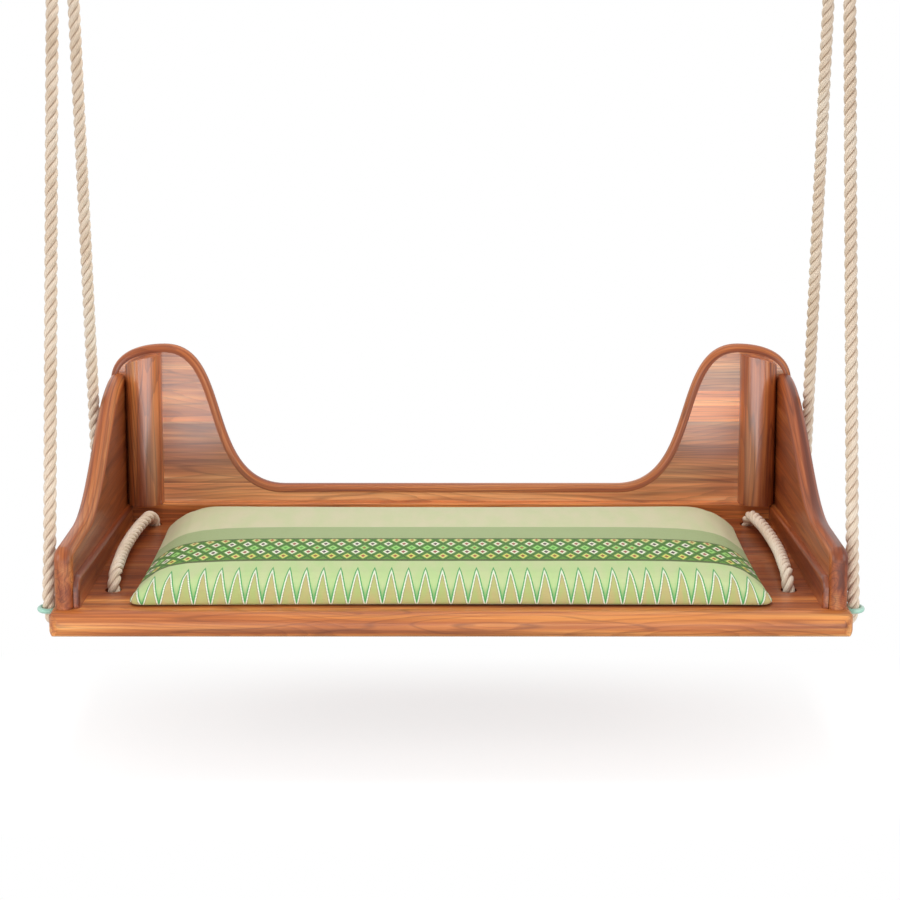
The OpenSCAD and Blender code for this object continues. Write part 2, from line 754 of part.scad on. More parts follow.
module core_block(clearance) {
    size = [cushion_width - 2 * (core_margin + clearance), cushion_depth - 2 * (core_margin + clearance)];
    translate([-size[0] / 2, -size[1] / 2, core_base + clearance])
        linear_extrude(core_thick - 2 * clearance)
            rounded_rect(size, core_corner, core_corner, core_corner, core_corner);
}

module at_cushion() {
    at_bed() translate([0, cushion_front + cushion_depth / 2, soft_gap]) children();
}

module cushion_cover() {
    color(leaf_green) at_cushion() difference() {
        cushion_body();
        core_block(0);
    }
}

module cushion_core() {
    color(foam) at_cushion() core_block(soft_gap);
}

// --------------------------------------------------------------- the part

ceiling_plate(left);  // ceiling_plate_left
ceiling_plate(right);  // ceiling_plate_right
swing_pin(left);  // swing_pin_left
swing_pin(right);  // swing_pin_right
hanger_link(left);  // hanger_link_left
hanger_link(right);  // hanger_link_right
sway_pin(left);  // sway_pin_left
sway_pin(right);  // sway_pin_right
rope_sockets(left);  // rope_sockets_left
rope_sockets(right);  // rope_sockets_right
rope_leg(left, rope_ring_front, -eye_y);  // rope_front_left
rope_leg(left, rope_ring_rear, eye_y);  // rope_rear_left
rope_run(left);  // rope_run_left
rope_leg(right, rope_ring_front, -eye_y);  // rope_front_right
rope_leg(right, rope_ring_rear, eye_y);  // rope_rear_right
rope_run(right);  // rope_run_right
ring_eye(left, ring_front);  // ring_eye_front_left
ring_eye(left, ring_rear);  // ring_eye_rear_left
ring_eye(right, ring_front);  // ring_eye_front_right
ring_eye(right, ring_rear);  // ring_eye_rear_right
front_rail();
back_rail();
end_rail(left);  // end_rail_left
end_rail(right);  // end_rail_right
deck_boards();
bearers();
frame_dowels();
panel_dowels();
back_panel();
side_panel(left);  // side_panel_left
side_panel(right);  // side_panel_right
corner_post(left);  // corner_post_left
corner_post(right);  // corner_post_right
back_plinth();
side_plinth(left);  // side_plinth_left
side_plinth(right);  // side_plinth_right
cushion_cover();
cushion_core();
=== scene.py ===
import math

import bmesh
import bpy
import numpy as np
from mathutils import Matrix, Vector


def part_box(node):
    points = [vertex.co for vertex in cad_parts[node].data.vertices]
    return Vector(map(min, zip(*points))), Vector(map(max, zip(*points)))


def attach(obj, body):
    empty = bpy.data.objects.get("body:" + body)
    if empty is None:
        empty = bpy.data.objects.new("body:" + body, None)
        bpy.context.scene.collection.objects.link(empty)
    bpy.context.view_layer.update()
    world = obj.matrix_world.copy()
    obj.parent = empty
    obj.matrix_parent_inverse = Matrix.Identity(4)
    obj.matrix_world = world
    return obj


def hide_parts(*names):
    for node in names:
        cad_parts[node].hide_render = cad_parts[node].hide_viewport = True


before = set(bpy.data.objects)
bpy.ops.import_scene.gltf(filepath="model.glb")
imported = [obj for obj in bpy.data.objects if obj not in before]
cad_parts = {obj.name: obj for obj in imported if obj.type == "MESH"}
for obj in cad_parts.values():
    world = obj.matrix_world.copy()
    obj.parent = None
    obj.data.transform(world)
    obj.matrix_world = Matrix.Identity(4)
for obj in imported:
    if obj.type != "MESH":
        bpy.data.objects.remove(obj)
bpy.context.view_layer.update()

# Everything is laid out from the front centre of the deck's top, in metres:
# X to the right, Y towards the back and Z up.
rail_low, rail_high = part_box("front_rail")
BED = Vector((0, rail_low.y, rail_high.z))
SIDES = {"left": -1, "right": 1}


def at_bed(x, y, z):
    return BED + Vector((x, y, z))


# ------------------------------------------------------------- camera

LENS = 78                     # mm, on a 36 mm sensor
CAMERA_PLACE = at_bed(0, -3.7128, 1.2313)
CAMERA_TILT = math.radians(82)
FRAME_SHIFT = (-0.0011, -0.2131)


def make_camera():
    data = bpy.data.cameras.new("camera")
    data.lens = LENS
    data.sensor_width = 36
    data.shift_x, data.shift_y = FRAME_SHIFT
    data.clip_end = 100
    camera = bpy.data.objects.new("camera", data)
    camera.location = CAMERA_PLACE
    camera.rotation_euler = (CAMERA_TILT, 0, 0)
    bpy.context.scene.collection.objects.link(camera)
    bpy.context.scene.camera = camera


make_camera()


# ------------------------------------------------- helpers for materials

def srgb(red, green, blue):
    """A colour as seen on a screen, 0 to 255, as the linear colour a shader takes."""
    def linear(c):
        c /= 255
        return c / 12.92 if c <= 0.04045 else ((c + 0.055) / 1.055) ** 2.4
    return (linear(red), linear(green), linear(blue), 1)


class Finish:
    """One material, with short ways to add and join its nodes."""

    def __init__(self, name):
        self.material = bpy.data.materials.new(name)
        self.material.use_nodes = True
        self.tree = self.material.node_tree
        self.shader = self.tree.nodes["Principled BSDF"]

    def put(self, socket, value):
        if isinstance(value, bpy.types.NodeSocket):
            self.tree.links.new(value, socket)
        elif value is not None:
            socket.default_value = value

    def node(self, kind, settings=None, **inputs):
        made = self.tree.nodes.new(kind)
        for name, value in (settings or {}).items():
            setattr(made, name, value)
        for name, value in inputs.items():
            self.put(made.inputs[name.replace("_", " ")], value)
        return made

    def set(self, **inputs):
        """Sets or joins inputs of the surface shader."""
        for name, value in inputs.items():
            self.put(self.shader.inputs[name.replace("_", " ")], value)

    def math(self, operation, a, b=None):
        made = self.tree.nodes.new("ShaderNodeMath")
        made.operation = operation
        for socket, value in zip(made.inputs, (a, b)):
            self.put(socket, value)
        return made.outputs[0]

    def between(self, value, low, high):
        """1 where value lies from low to high, and 0 elsewhere."""
        above = self.math("GREATER_THAN", value, low)
        below = self.math("LESS_THAN", value, high)
        return self.math("MULTIPLY", above, below)

    def fade(self, value, start, end):
        """Runs smoothly from 0 at start to 1 at end."""
        made = self.node("ShaderNodeMapRange", {"interpolation_type": "SMOOTHSTEP"},
                         Value=value, From_Min=start, From_Max=end)
        return made.outputs[0]

    def mix(self, share, a, b, blend="MIX"):
        made = self.tree.nodes.new("ShaderNodeMix")
        made.data_type = "RGBA"
        made.blend_type = blend
        made.clamp_factor = True
        self.put(made.inputs[0], share)
        self.put(made.inputs[6], a)
        self.put(made.inputs[7], b)
        return made.outputs[2]

    def ramp(self, share, stops, interpolation="LINEAR"):
        made = self.tree.nodes.new("ShaderNodeValToRGB")
        made.color_ramp.interpolation = interpolation
        elements = made.color_ramp.elements
        while len(elements) < len(stops):
            elements.new(0.5)
        for element, (place, colour) in zip(elements, stops):
            element.position = place
            element.color = colour
        self.put(made.inputs[0], share)
        return made.outputs[0]

    def grey(self, share, low, high):
        """share from 0 to 1 as a grey from low to high."""
        return self.ramp(share, [(0, (low, low, low, 1)), (1, (high, high, high, 1))])

    def place(self, scale=(1, 1, 1), move=(0, 0, 0), turn=(0, 0, 0), of=None):
        """Object coordinates, or another vector, scaled, turned and moved."""
        if of is None:
            of = self.node("ShaderNodeTexCoord").outputs["Object"]
        made = self.node("ShaderNodeMapping", Vector=of)
        made.inputs["Scale"].default_value = scale
        made.inputs["Location"].default_value = move
        made.inputs["Rotation"].default_value = turn
        return made.outputs[0]

    def noise(self, vector, detail, roughness=0.55, distortion=0):
        """Soft noise. The vector's own scale sets how fine it is."""
        made = self.node("ShaderNodeTexNoise", Vector=vector, Scale=1, Detail=detail,
                         Roughness=roughness, Distortion=distortion)
        return made.outputs["Fac"]

    def bump(self, height, distance, strength):
        made = self.node("ShaderNodeBump", Height=height, Distance=distance, Strength=strength)
        return made.outputs[0]


# ---------------------------------------------------------- helpers for pieces

SAME_PLACE = 1e-5             # corners of a solid that lie closer than this are one
FLAT_WITHIN = 1e-6            # how far from a flat end or foot a point may lie
ROUND_STEPS = 6               # facets across a board's rounded edge


def link(name, mesh):
    piece = bpy.data.objects.new(name, mesh)
    bpy.context.scene.collection.objects.link(piece)
    return piece


def piece_from(bm, name, finish, body, smooth_angle=35):
    """A finished piece from a bmesh: shaded smooth up to an angle, riding on a body.

    finish is a material, or a pair for a board's faces and its rounded edge.
    """
    bmesh.ops.recalc_face_normals(bm, faces=bm.faces)
    mesh = bpy.data.meshes.new(name)
    bm.to_mesh(mesh)
    bm.free()
    mesh.shade_smooth()
    mesh.set_sharp_from_angle(angle=math.radians(smooth_angle))
    for one in finish if isinstance(finish, tuple) else (finish,):
        mesh.materials.append(one)
    piece = link(name, mesh)
    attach(piece, body)
    return piece


def weigh_normals(piece):
    """Keeps large flat faces flat where a rounded edge runs into them."""
    modifier = piece.modifiers.new("weighted_normals", "WEIGHTED_NORMAL")
    modifier.keep_sharp = True
    modifier.weight = 100


def smooth_copy(node, name, finish):
    """A piece with the shape of a solid, its facets joined and its rounds shaded smooth."""
    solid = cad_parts[node].data
    bm = bmesh.new()
    verts = [bm.verts.new(v.co) for v in solid.vertices]
    for face in solid.polygons:
        bm.faces.new([verts[i] for i in face.vertices])
    bmesh.ops.remove_doubles(bm, verts=bm.verts, dist=SAME_PLACE)
    piece = piece_from(bm, name, finish, "bed", smooth_angle=32)
    weigh_normals(piece)
    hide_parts(node)


def bezier(a, b, c, d, steps):
    a, b, c, d = (Vector(p) for p in (a, b, c, d))
    points = []
    for i in range(steps + 1):
        t = i / steps
        s = 1 - t
        points.append(s**3 * a + 3 * t * s**2 * b + 3 * t**2 * s * c + t**3 * d)
    return points


def board_from(outline, thickness, rounding, free_edges, to_bed, both=True):
    """A board from its outline, with the free edges of both faces rounded, or of the far one.

    outline is a loop of (across, up). free_edges says whether the edge from
    one point to the next is rounded. to_bed turns (across, up, depth) to a
    place on the bed.
    """
    bm = bmesh.new()
    face = bm.faces.new([bm.verts.new((p[0], p[1], 0)) for p in outline])
    grown = bmesh.ops.extrude_face_region(bm, geom=[face])["geom"]
    far = [v for v in grown if isinstance(v, bmesh.types.BMVert)]
    bmesh.ops.translate(bm, verts=far, vec=(0, 0, thickness))
    rim = [e for e in bm.edges
           if abs(e.verts[0].co.z - e.verts[1].co.z) < FLAT_WITHIN
           and (both or e.verts[0].co.z > thickness / 2)
           and free_edges(*[v.co for v in e.verts])]
    bmesh.ops.bevel(bm, geom=rim, offset=rounding, offset_type="OFFSET", segments=ROUND_STEPS,
                    profile=0.5, affect="EDGES", clamp_overlap=False, material=-1)
    map_edges(bm, outline, thickness)
    for v in bm.verts:
        v.co = to_bed(*v.co)
    return bm


def map_edges(bm, outline, thickness):
    """Gives a board's rounded edge its own finish, and a map along and across the outline."""
    bm.normal_update()
    edge_map = bm.loops.layers.uv.new("edge")
    line = np.array([tuple(p)[:2] for p in outline])
    step = np.roll(line, -1, axis=0) - line
    length = np.linalg.norm(step, axis=1)
    start = np.concatenate([[0], np.cumsum(length)[:-1]])
    for face in bm.faces:
        lies_flat = abs(face.normal.z) > 0.999
        face.material_index = 0 if lies_flat else 1
        for loop in face.loops:
            x, y, deep = loop.vert.co
            spot = np.array((x, y))
            share = np.clip(((spot - line) * step).sum(axis=1) / length**2, 0, 1)
            gap = np.linalg.norm(spot - (line + share[:, None] * step), axis=1)
            k = gap.argmin()
            across = deep - gap[k] if deep < thickness / 2 else deep + gap[k]
            loop[edge_map].uv = (start[k] + share[k] * length[k], across)


# ---------------------------------------------------------------- ropes

ROPE = 0.024                  # diameter
LOOSE = 1.13                  # how much fuller the laid strands are than the solid rope
STRANDS = 3
STRAND = 0.54                 # radius of a strand, as a share of the rope's
STRAND_OFFSET = 0.46          # a strand's centre from the rope's, likewise
STRAND_WIDER = 1.06           # a strand's width across the rope, against its depth
LAY_LENGTH = 0.072            # along the rope for one turn of a strand
YARN_TURN = 0.078             # along the rope for one turn of the yarns in a strand
YARN_SHIFT = 0.37             # turn of one strand's yarns against the next strand's
YARNS = 9                     # side by side round a strand
STRAND_SIDES = 12
ROPE_STEP = 0.004             # along the rope from one ring of corners to the next
LEG_POINTS = 14               # points of a leg's line above its ring
RING = (0.809, -0.014)        # X and Z of the rings' centres
RING_FRONT, RING_REAR = 0.080, 0.650
PIN = (0.815, 1.930)          # X and Z of the pins that carry the ropes
PIN_FRONT, PIN_REAR = 0.4253, 0.4441
ROPE_HIDDEN = 0.0663          # from a pin to the rope's end inside its socket

# The rope between the rings, in millimetres: under the frame, up through
# the front hole, along the deck, down the rear hole and out again.
BED_RUN = [
    (806, 82, -30), (797, 88, -46), (784, 96, -56), (769, 106, -60), (750, 119, -60),
    (730, 132, -60), (716, 141, -57), (704, 149, -47), (696, 154, -33), (693, 156, -13),
    (693, 160.5, 2), (693, 167, 13), (693, 176.5, 21), (693.5, 187.5, 27), (694, 204, 30),
    (696, 235, 30), (699, 278, 29), (702, 322, 28), (703.5, 366, 27.5), (703.5, 410, 27.5),
    (702.5, 455, 28), (700, 502, 29), (696, 546, 30), (692, 578, 30), (689, 601, 30),
    (686, 617.5, 27), (684, 628.5, 21), (682.5, 638, 13), (682, 644.5, 2), (682, 649, -10),
    (686, 650, -30), (696, 650, -46), (712, 650, -56), (730, 650, -60), (761, 650, -60),
    (779, 650, -56), (795, 650, -46), (805, 650, -30),
]


def leg_points(pin_y, ring_y):
    """Points down a leg, from inside its socket to just above its ring."""
    top, ring = Vector((PIN[0], pin_y, PIN[1])), Vector((RING[0], ring_y, RING[1]))
    start = top + (ring - top).normalized() * ROPE_HIDDEN
    return [start.lerp(ring, i / LEG_POINTS) for i in range(LEG_POINTS)]


def smooth_through(points, spacing):
    """A fine line that passes smoothly through points, and where each one is on it.

    It is a Catmull-Rom curve whose steps follow the square root of the gaps,
    which keeps it from looping where the points lie close.
    """
    ends = [2 * points[0] - points[1], *points, 2 * points[-1] - points[-2]]
    line, places = [points[0]], [0]
    for i in range(len(points) - 1):
        a, b, c, d = ends[i:i + 4]
        steps = max(2, round((c - b).length / spacing))
        knots = [0.0]
        for p, q in ((a, b), (b, c), (c, d)):
            knots.append(knots[-1] + (q - p).length ** 0.5)
        t0, t1, t2, t3 = knots
        for k in range(1, steps + 1):
            t = t1 + (t2 - t1) * k / steps
            ab = a.lerp(b, (t - t0) / (t1 - t0))
            bc = b.lerp(c, (t - t1) / (t2 - t1))
            cd = c.lerp(d, (t - t2) / (t3 - t2))
            abc = ab.lerp(bc, (t - t0) / (t2 - t0))
            bcd = bc.lerp(cd, (t - t1) / (t3 - t1))
            line.append(abc.lerp(bcd, (t - t1) / (t2 - t1)))
        places.append(len(line) - 1)
    return line, places


def rope_line(sign):
    """The whole rope of one side, and where it passes its front and rear rings."""
    front, rear = leg_points(PIN_FRONT, RING_FRONT), leg_points(PIN_REAR, RING_REAR)
    run = [Vector(p) / 1000 for p in BED_RUN]
    points = [*front, Vector((RING[0], RING_FRONT, RING[1])), *run,
              Vector((RING[0], RING_REAR, RING[1])), *reversed(rear)]
    points = [BED + Vector((sign * p.x, p.y, p.z)) for p in points]
    line, places = smooth_through(points, ROPE_STEP)
    return line, places[len(front)], places[len(front) + 1 + len(run)]


def carried_frames(line):
    """Side and up directions along a line, turned as little as they can be."""
    sides, ups = [], []
    side = Vector((1, 0, 0))
    for i in range(len(line)):
        tangent = (line[min(i + 1, len(line) - 1)] - line[max(i - 1, 0)]).normalized()
        side = (side - side.dot(tangent) * tangent).normalized()
        sides.append(side)
        ups.append(tangent.cross(side))
    return sides, ups


def laid_rope(name, line, first, last, finish, body):
    """A stretch of three-strand rope, laid right-handed, along part of a line.

    Gives the piece, its middle line and its length.
    """
    sides, ups = carried_frames(line)
    lengths = [0.0]
    for a, b in zip(line, line[1:]):
        lengths.append(lengths[-1] + (b - a).length)
    bm = bmesh.new()
    yarns = bm.loops.layers.uv.new("yarns")
    crown = bm.verts.layers.float.new("crown")
    radius = ROPE / 2 * LOOSE
    for strand in range(STRANDS):
        rings = []
        for i in range(first, last + 1):
            turn = 2 * math.pi * (lengths[i] / LAY_LENGTH + strand / STRANDS)
            out = math.cos(turn) * sides[i] + math.sin(turn) * ups[i]
            around = -math.sin(turn) * sides[i] + math.cos(turn) * ups[i]
            centre = line[i] + STRAND_OFFSET * radius * out
            ring = []
            for k in range(STRAND_SIDES):
                angle = 2 * math.pi * k / STRAND_SIDES
                place = centre + STRAND * radius * (
                    math.cos(angle) * out + STRAND_WIDER * math.sin(angle) * around)
                vert = bm.verts.new(place)
                vert[crown] = (place - line[i]).length / radius
                ring.append(vert)
            rings.append((lengths[i], ring))
        for (low, a), (high, b) in zip(rings, rings[1:]):
            for k in range(STRAND_SIDES):
                m = (k + 1) % STRAND_SIDES
                face = bm.faces.new((a[k], a[m], b[m], b[k]))
                corners = ((low, k), (low, k + 1), (high, k + 1), (high, k))
                for loop, (along, step) in zip(face.loops, corners):
                    turned = step / STRAND_SIDES + along / YARN_TURN + strand * YARN_SHIFT
                    loop[yarns].uv = (turned, along)
        bm.faces.new(rings[-1][1])
        bm.faces.new(rings[0][1][::-1])
    piece = piece_from(bm, name, finish, body, smooth_angle=60)
    path = line[first:last + 1]
    length = sum((b - a).length for a, b in zip(path, path[1:]))
    return piece, path, length


def rope_finish():
    f = Finish("natural_rope")
    uv = f.node("ShaderNodeUVMap", {"uv_map": "yarns"}).outputs[0]
    split = f.node("ShaderNodeSeparateXYZ", Vector=uv)
    turn, along = split.outputs[0], split.outputs[1]
    # 1 along the middle of each yarn, and 0 between two yarns.
    yarn = f.math("ABSOLUTE", f.math("SINE", f.math("MULTIPLY", turn, YARNS * math.pi)))
    crown = f.node("ShaderNodeAttribute", {"attribute_name": "crown"}).outputs["Fac"]
    valley_shade = f.fade(crown, 0.86, 0.55)
    fibres = f.noise(f.place(scale=(60, 260, 1), of=uv), detail=4, roughness=0.7)
    patches = f.noise(f.place(scale=(9, 9, 9)), detail=3)
    stretches = f.noise(f.place(scale=(3, 40, 1), of=uv), detail=2)
    colour = f.ramp(patches, [(0.3, srgb(234, 212, 188)), (0.5, srgb(244, 224, 202)),
                              (0.72, srgb(250, 236, 217))])
    colour = f.mix(f.math("MULTIPLY", f.fade(stretches, 0.5, 0.75), 0.45), colour,
                   srgb(222, 194, 160))
    gaps = f.fade(yarn, 0.55, 0.05)
    colour = f.mix(f.math("MULTIPLY", gaps, 0.35), colour, srgb(190, 158, 124))
    colour = f.mix(1, colour, f.grey(fibres, 0.82, 1.12), "MULTIPLY")
    # Painted shade: the valleys between the strands are darkened.
    colour = f.mix(f.math("MULTIPLY", valley_shade, 0.65), colour, srgb(160, 124, 94))
    height = f.math("ADD", f.math("MULTIPLY", yarn, 0.7), f.math("MULTIPLY", fibres, 0.6))
    f.set(Base_Color=colour, Roughness=0.86, Normal=f.bump(height, 0.0007, 0.8),
          Sheen_Weight=0.25, Sheen_Roughness=0.5, Specular_IOR_Level=0.25)
    return f.material


def make_ropes():
    finish = rope_finish()
    for side, sign in SIDES.items():
        line, front_ring, rear_ring = rope_line(sign)
        legs, end = f"legs_{side}", len(line) - 1
        stretches = {
            "front": (0, front_ring, legs),
            "run": (front_ring, rear_ring, "bed"),
            "rear": (rear_ring, end, legs),
        }
        for place, (first, last, body) in stretches.items():
            piece, path, length = laid_rope(f"laid_rope_{place}_{side}", line, first, last,
                                            finish, body)
            if place == "rear":
                path = path[::-1]
            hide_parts(f"rope_{place}_{side}")


make_ropes()


# ------------------------------------------------------------------ wood

GRAIN_TURN = {"x": (0, 0, 0), "y": (0, 0, math.radians(-90)), "z": (0, math.radians(90), 0)}
RINGS_PER_METRE = 95          # growth rings, outwards from the pith
PITH = (0, 0.13, 0.09)        # how far from the pith a board is cut
VEIN_BANDS = 13


def teak(name, grain="x", *, seed, boards=None, tint=(1, 1, 1), streaks=0.6, figure=0.5,
         coat=0.5, lacquer=1.5, axis=2, drifts=(), edge=False):
    """Oiled and varnished teak with its grain along one axis.

    seed picks the stretch of wood that it is cut from. boards is a list of
    (far edge, tint) along the axis numbered axis: each board has its own tint
    and its own stretch of figure. streaks is how strong the dark mineral
    streaks are, and figure how strong the growth rings and veins. Each of
    drifts is (axis, centre, start, end, tint): the tint comes in between two
    distances from a centre along an axis. With edge, the grain follows the
    outline of a board's rounded edge. coat and lacquer are the weight and the
    IOR of the varnish.
    """
    f = Finish(name)
    coords = f.node("ShaderNodeTexCoord").outputs["Object"]
    split = f.node("ShaderNodeSeparateXYZ", Vector=coords)
    base = coords
    shade = (*tint, 1)
    if boards:
        place = split.outputs[axis]
        number = 0.0
        for upper, _ in boards[:-1]:
            step = f.math("GREATER_THAN", place, upper)
            number = f.math("ADD", number, step)
        for i, (_, board_tint) in enumerate(boards):
            colour = (*[a * b for a, b in zip(board_tint, tint)], 1)
            if i == 0:
                shade = colour
            else:
                share = f.math("GREATER_THAN", place, boards[i - 1][0])
                shade = f.mix(share, shade, colour)
        shift = f.node("ShaderNodeCombineXYZ", X=f.math("MULTIPLY", number, 3.71),
                       Y=f.math("MULTIPLY", number, 1.37), Z=f.math("MULTIPLY", number, 2.23))
        base = f.node("ShaderNodeVectorMath", {"operation": "ADD"})
        f.put(base.inputs[0], coords)
        f.put(base.inputs[1], shift.outputs[0])
        base = base.outputs[0]
    # Turned so that the grain runs along the texture's X axis.
    along = f.place(turn=GRAIN_TURN[grain], move=(seed * 1.7, seed * 0.9, seed * 2.3), of=base)
    if edge:
        edge_map = f.node("ShaderNodeUVMap", {"uv_map": "edge"}).outputs[0]
        along = f.place(move=(seed, 0.3 * seed, 0.2), of=edge_map)

    # Growth rings: cylinders about a slightly leaning pith, bent by slow noise.
    bend = f.noise(f.place(scale=(0.9, 5, 5), of=along), detail=2, roughness=0.5)
    wide = f.noise(f.place(scale=(1.6, 17, 17), of=along), detail=4, roughness=0.6)
    lean = f.place(turn=(0, math.radians(2.5), math.radians(3.5)), move=PITH, of=along)
    parts = f.node("ShaderNodeSeparateXYZ", Vector=lean)
    y, z = parts.outputs[1], parts.outputs[2]
    wander = f.math("MULTIPLY", f.math("SUBTRACT", bend, 0.5), 0.2)
    y = f.math("ADD", y, wander)
    z = f.math("ADD", z, wander)
    radius = f.math("SQRT", f.math("ADD", f.math("MULTIPLY", y, y), f.math("MULTIPLY", z, z)))
    rings = f.math("ADD", f.math("MULTIPLY", radius, RINGS_PER_METRE),
                   f.math("MULTIPLY", wide, 2.4))
    band = f.math("FRACT", rings)
    late = f.math("MULTIPLY", f.math("POWER", band, 2.2), f.fade(band, 1.0, 0.93))

    # Veins: a few dark lines that wander along the grain and close into eyes.
    swirl = f.noise(f.place(scale=(0.75, 11, 11), move=(2, 7, 5), of=along), detail=2,
                    roughness=0.45, distortion=0.4)
    vein = f.math("FRACT", f.math("MULTIPLY", swirl, VEIN_BANDS))
    vein = f.math("ABSOLUTE", f.math("SUBTRACT", vein, 0.5))
    vein = f.fade(vein, 0.13, 0.0)

    # Streaks along the grain, from hand-wide to hair-thin.
    streak = f.noise(f.place(scale=(0.7, 24, 24), move=(4, 0, 0), of=along), detail=5,
                     roughness=0.6)
    ribbon = f.noise(f.place(scale=(1.3, 75, 75), move=(1, 8, 3), of=along), detail=3,
                     roughness=0.6)
    fine = f.noise(f.place(scale=(3.5, 230, 230), of=along), detail=4, roughness=0.65)
    hair = f.noise(f.place(scale=(14, 1100, 1100), of=along), detail=2, roughness=0.6)
    mineral = f.noise(f.place(scale=(0.6, 19, 19), move=(9, 3, 1), of=along), detail=3,
                      roughness=0.55, distortion=0.5)

    tone = f.math("ADD", f.math("MULTIPLY", streak, 0.6), f.math("MULTIPLY", ribbon, 0.4))
    colour = f.ramp(tone, [(0.36, srgb(128, 64, 32)), (0.43, srgb(168, 90, 46)),
                           (0.5, srgb(198, 116, 62)), (0.56, srgb(218, 140, 80)),
                           (0.66, srgb(236, 172, 114))])
    colour = f.mix(f.math("MULTIPLY", late, figure), colour, srgb(124, 60, 30))
    colour = f.mix(f.math("MULTIPLY", vein, 0.9 * figure), colour, srgb(96, 46, 28))
    dark = f.fade(mineral, 0.54, 0.68)
    colour = f.mix(f.math("MULTIPLY", dark, streaks), colour, srgb(96, 50, 38))
    colour = f.mix(1, colour, f.grey(fine, 0.74, 1.18), "MULTIPLY")
    pores = f.fade(hair, 0.62, 0.74)
    colour = f.mix(f.math("MULTIPLY", pores, 0.35), colour, srgb(84, 42, 22))
    colour = f.mix(1, colour, shade, "MULTIPLY")
    for which, centre, start, end, drift_tint in drifts:
        reach = f.math("ABSOLUTE", f.math("SUBTRACT", split.outputs[which], centre))
        share = f.math("ADD", f.fade(reach, start, end),
                       f.math("MULTIPLY", f.math("SUBTRACT", wide, 0.5), 0.7))
        share = f.math("MULTIPLY", share, f.fade(reach, start, start + (end - start) * 0.3))
        share = f.math("MINIMUM", share, 1)
        colour = f.mix(share, colour, f.mix(1, colour, (*drift_tint, 1), "MULTIPLY"))

    height = f.math("SUBTRACT", f.math("MULTIPLY", fine, 0.5), f.math("MULTIPLY", pores, 0.7))
    height = f.math("SUBTRACT", height, f.math("MULTIPLY", late, 0.2))
    rough = f.node("ShaderNodeMapRange", Value=fine, To_Min=0.34, To_Max=0.48).outputs[0]
    f.set(Base_Color=colour, Roughness=rough, Normal=f.bump(height, 0.00025, 0.6),
          Coat_Weight=coat, Coat_Roughness=0.2, Coat_IOR=lacquer, IOR=1.5)
    return f.material


# The back is glued up from planks and the deck laid from boards, each of its own
# tone. With it goes the upper edge of a plank above the deck, or the rear edge of
# a board from the front. The last one has all that is left. The back's palest,
# bluest tints also paint the varnish's sheen, and the deck's dark tints are painted shade.
REST = 9
BACK_PLANKS = [(BED.z + edge, tint) for edge, tint in (
    (0.081, (1.5, 1.66, 2.0)), (0.227, (1.04, 1.02, 1.08)), (0.299, (1.48, 1.28, 0.98)),
    (0.379, (1.0, 0.94, 0.92)), (REST, (0.9, 0.78, 0.66)))]
DECK_BOARDS = [(BED.y + edge, tint) for edge, tint in (
    (0.230, (0.52, 0.38, 0.3)), (0.346, (0.45, 0.33, 0.26)), (0.461, (0.54, 0.4, 0.32)),
    (0.577, (0.46, 0.34, 0.27)), (REST, (0.52, 0.38, 0.3)))]

SIDE_OUTER, SIDE_THICK, SIDE_ROUND = 0.789, 0.038, 0.017
SIDE_FRONT, SIDE_LOW, SIDE_NOSE, SIDE_HIGH = 0.024, 0.124, 0.026, 0.340
# The sides' dark tints are painted shade, deepest on the left side.
SIDE_SHADE_TINTS = {"left": (0.46, 0.32, 0.23), "right": (0.62, 0.44, 0.3)}
BACK_FACE, BACK_THICK, BACK_ROUND = 0.712, 0.038, 0.017
LOW_BACK, LOBE_HIGH, SHOULDER = 0.075, 0.407, 0.318
PEAK_X, FOOT_X = 0.663, 0.386     # the lobe's peak, and the foot of its curve
PLINTH_FRONT, PLINTH_REAR, PLINTH_THICK, PLINTH_ROUND = 0.034, 0.696, 0.012, 0.009


def back_outline():
    """The back from the front: low in the middle, with a lobe at each end."""
    run = PEAK_X - FOOT_X
    rise = bezier((FOOT_X, LOW_BACK), (FOOT_X + 0.7 * run, LOW_BACK),
                  (PEAK_X - 0.59 * run, LOBE_HIGH), (PEAK_X, LOBE_HIGH), 44)
    over = bezier((PEAK_X, LOBE_HIGH), (PEAK_X + 0.56 * (SIDE_OUTER - PEAK_X), LOBE_HIGH),
                  (SIDE_OUTER, 0.7 * LOBE_HIGH + 0.3 * SHOULDER), (SIDE_OUTER, SHOULDER), 26)
    half = [*rise, *over[1:], Vector((SIDE_OUTER, 0))]
    return [(-p.x, p.y) for p in reversed(half)] + [(p.x, p.y) for p in half]


def make_back_panel():
    def rounded(a, b):
        return max(a.y, b.y) > FLAT_WITHIN

    bm = board_from(back_outline(), BACK_THICK, BACK_ROUND, rounded,
                    lambda x, up, deep: at_bed(x, BACK_FACE + deep, up))
    # The lobes pale towards the posts: a painted sheen, standing for the varnish's reflection.
    finish = (teak("teak_back_planks", "x", seed=1.3, boards=BACK_PLANKS, streaks=0.5,
                   figure=0.45, coat=1.0, lacquer=1.85,
                   drifts=[(0, 0, 0.44, 0.66, (1.2, 1.38, 1.52))]),
              teak("teak_back_edge", seed=2.6, tint=(0.8, 0.66, 0.5), streaks=0.5, figure=0.5,
                   coat=0.12, edge=True))
    panel = piece_from(bm, "lobed_back", finish, "bed")
    weigh_normals(panel)
    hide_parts("back_panel")


def side_outline():
    """A side from its own side: low in front, and an ogee up to the back."""
    corner = [Vector((SIDE_FRONT + SIDE_NOSE * (1 - math.cos(a)),
                      SIDE_LOW - SIDE_NOSE * (1 - math.sin(a))))
              for a in (math.radians(90 * i / 10) for i in range(11))]
    rise = bezier((0.3 * BACK_FACE, SIDE_LOW), (0.57 * BACK_FACE, SIDE_LOW),
                  (0.7 * BACK_FACE, SIDE_HIGH - 0.010), (BACK_FACE, SIDE_HIGH), 44)
    return [(SIDE_FRONT, 0), *[(p.x, p.y) for p in corner + rise], (BACK_FACE, 0)]


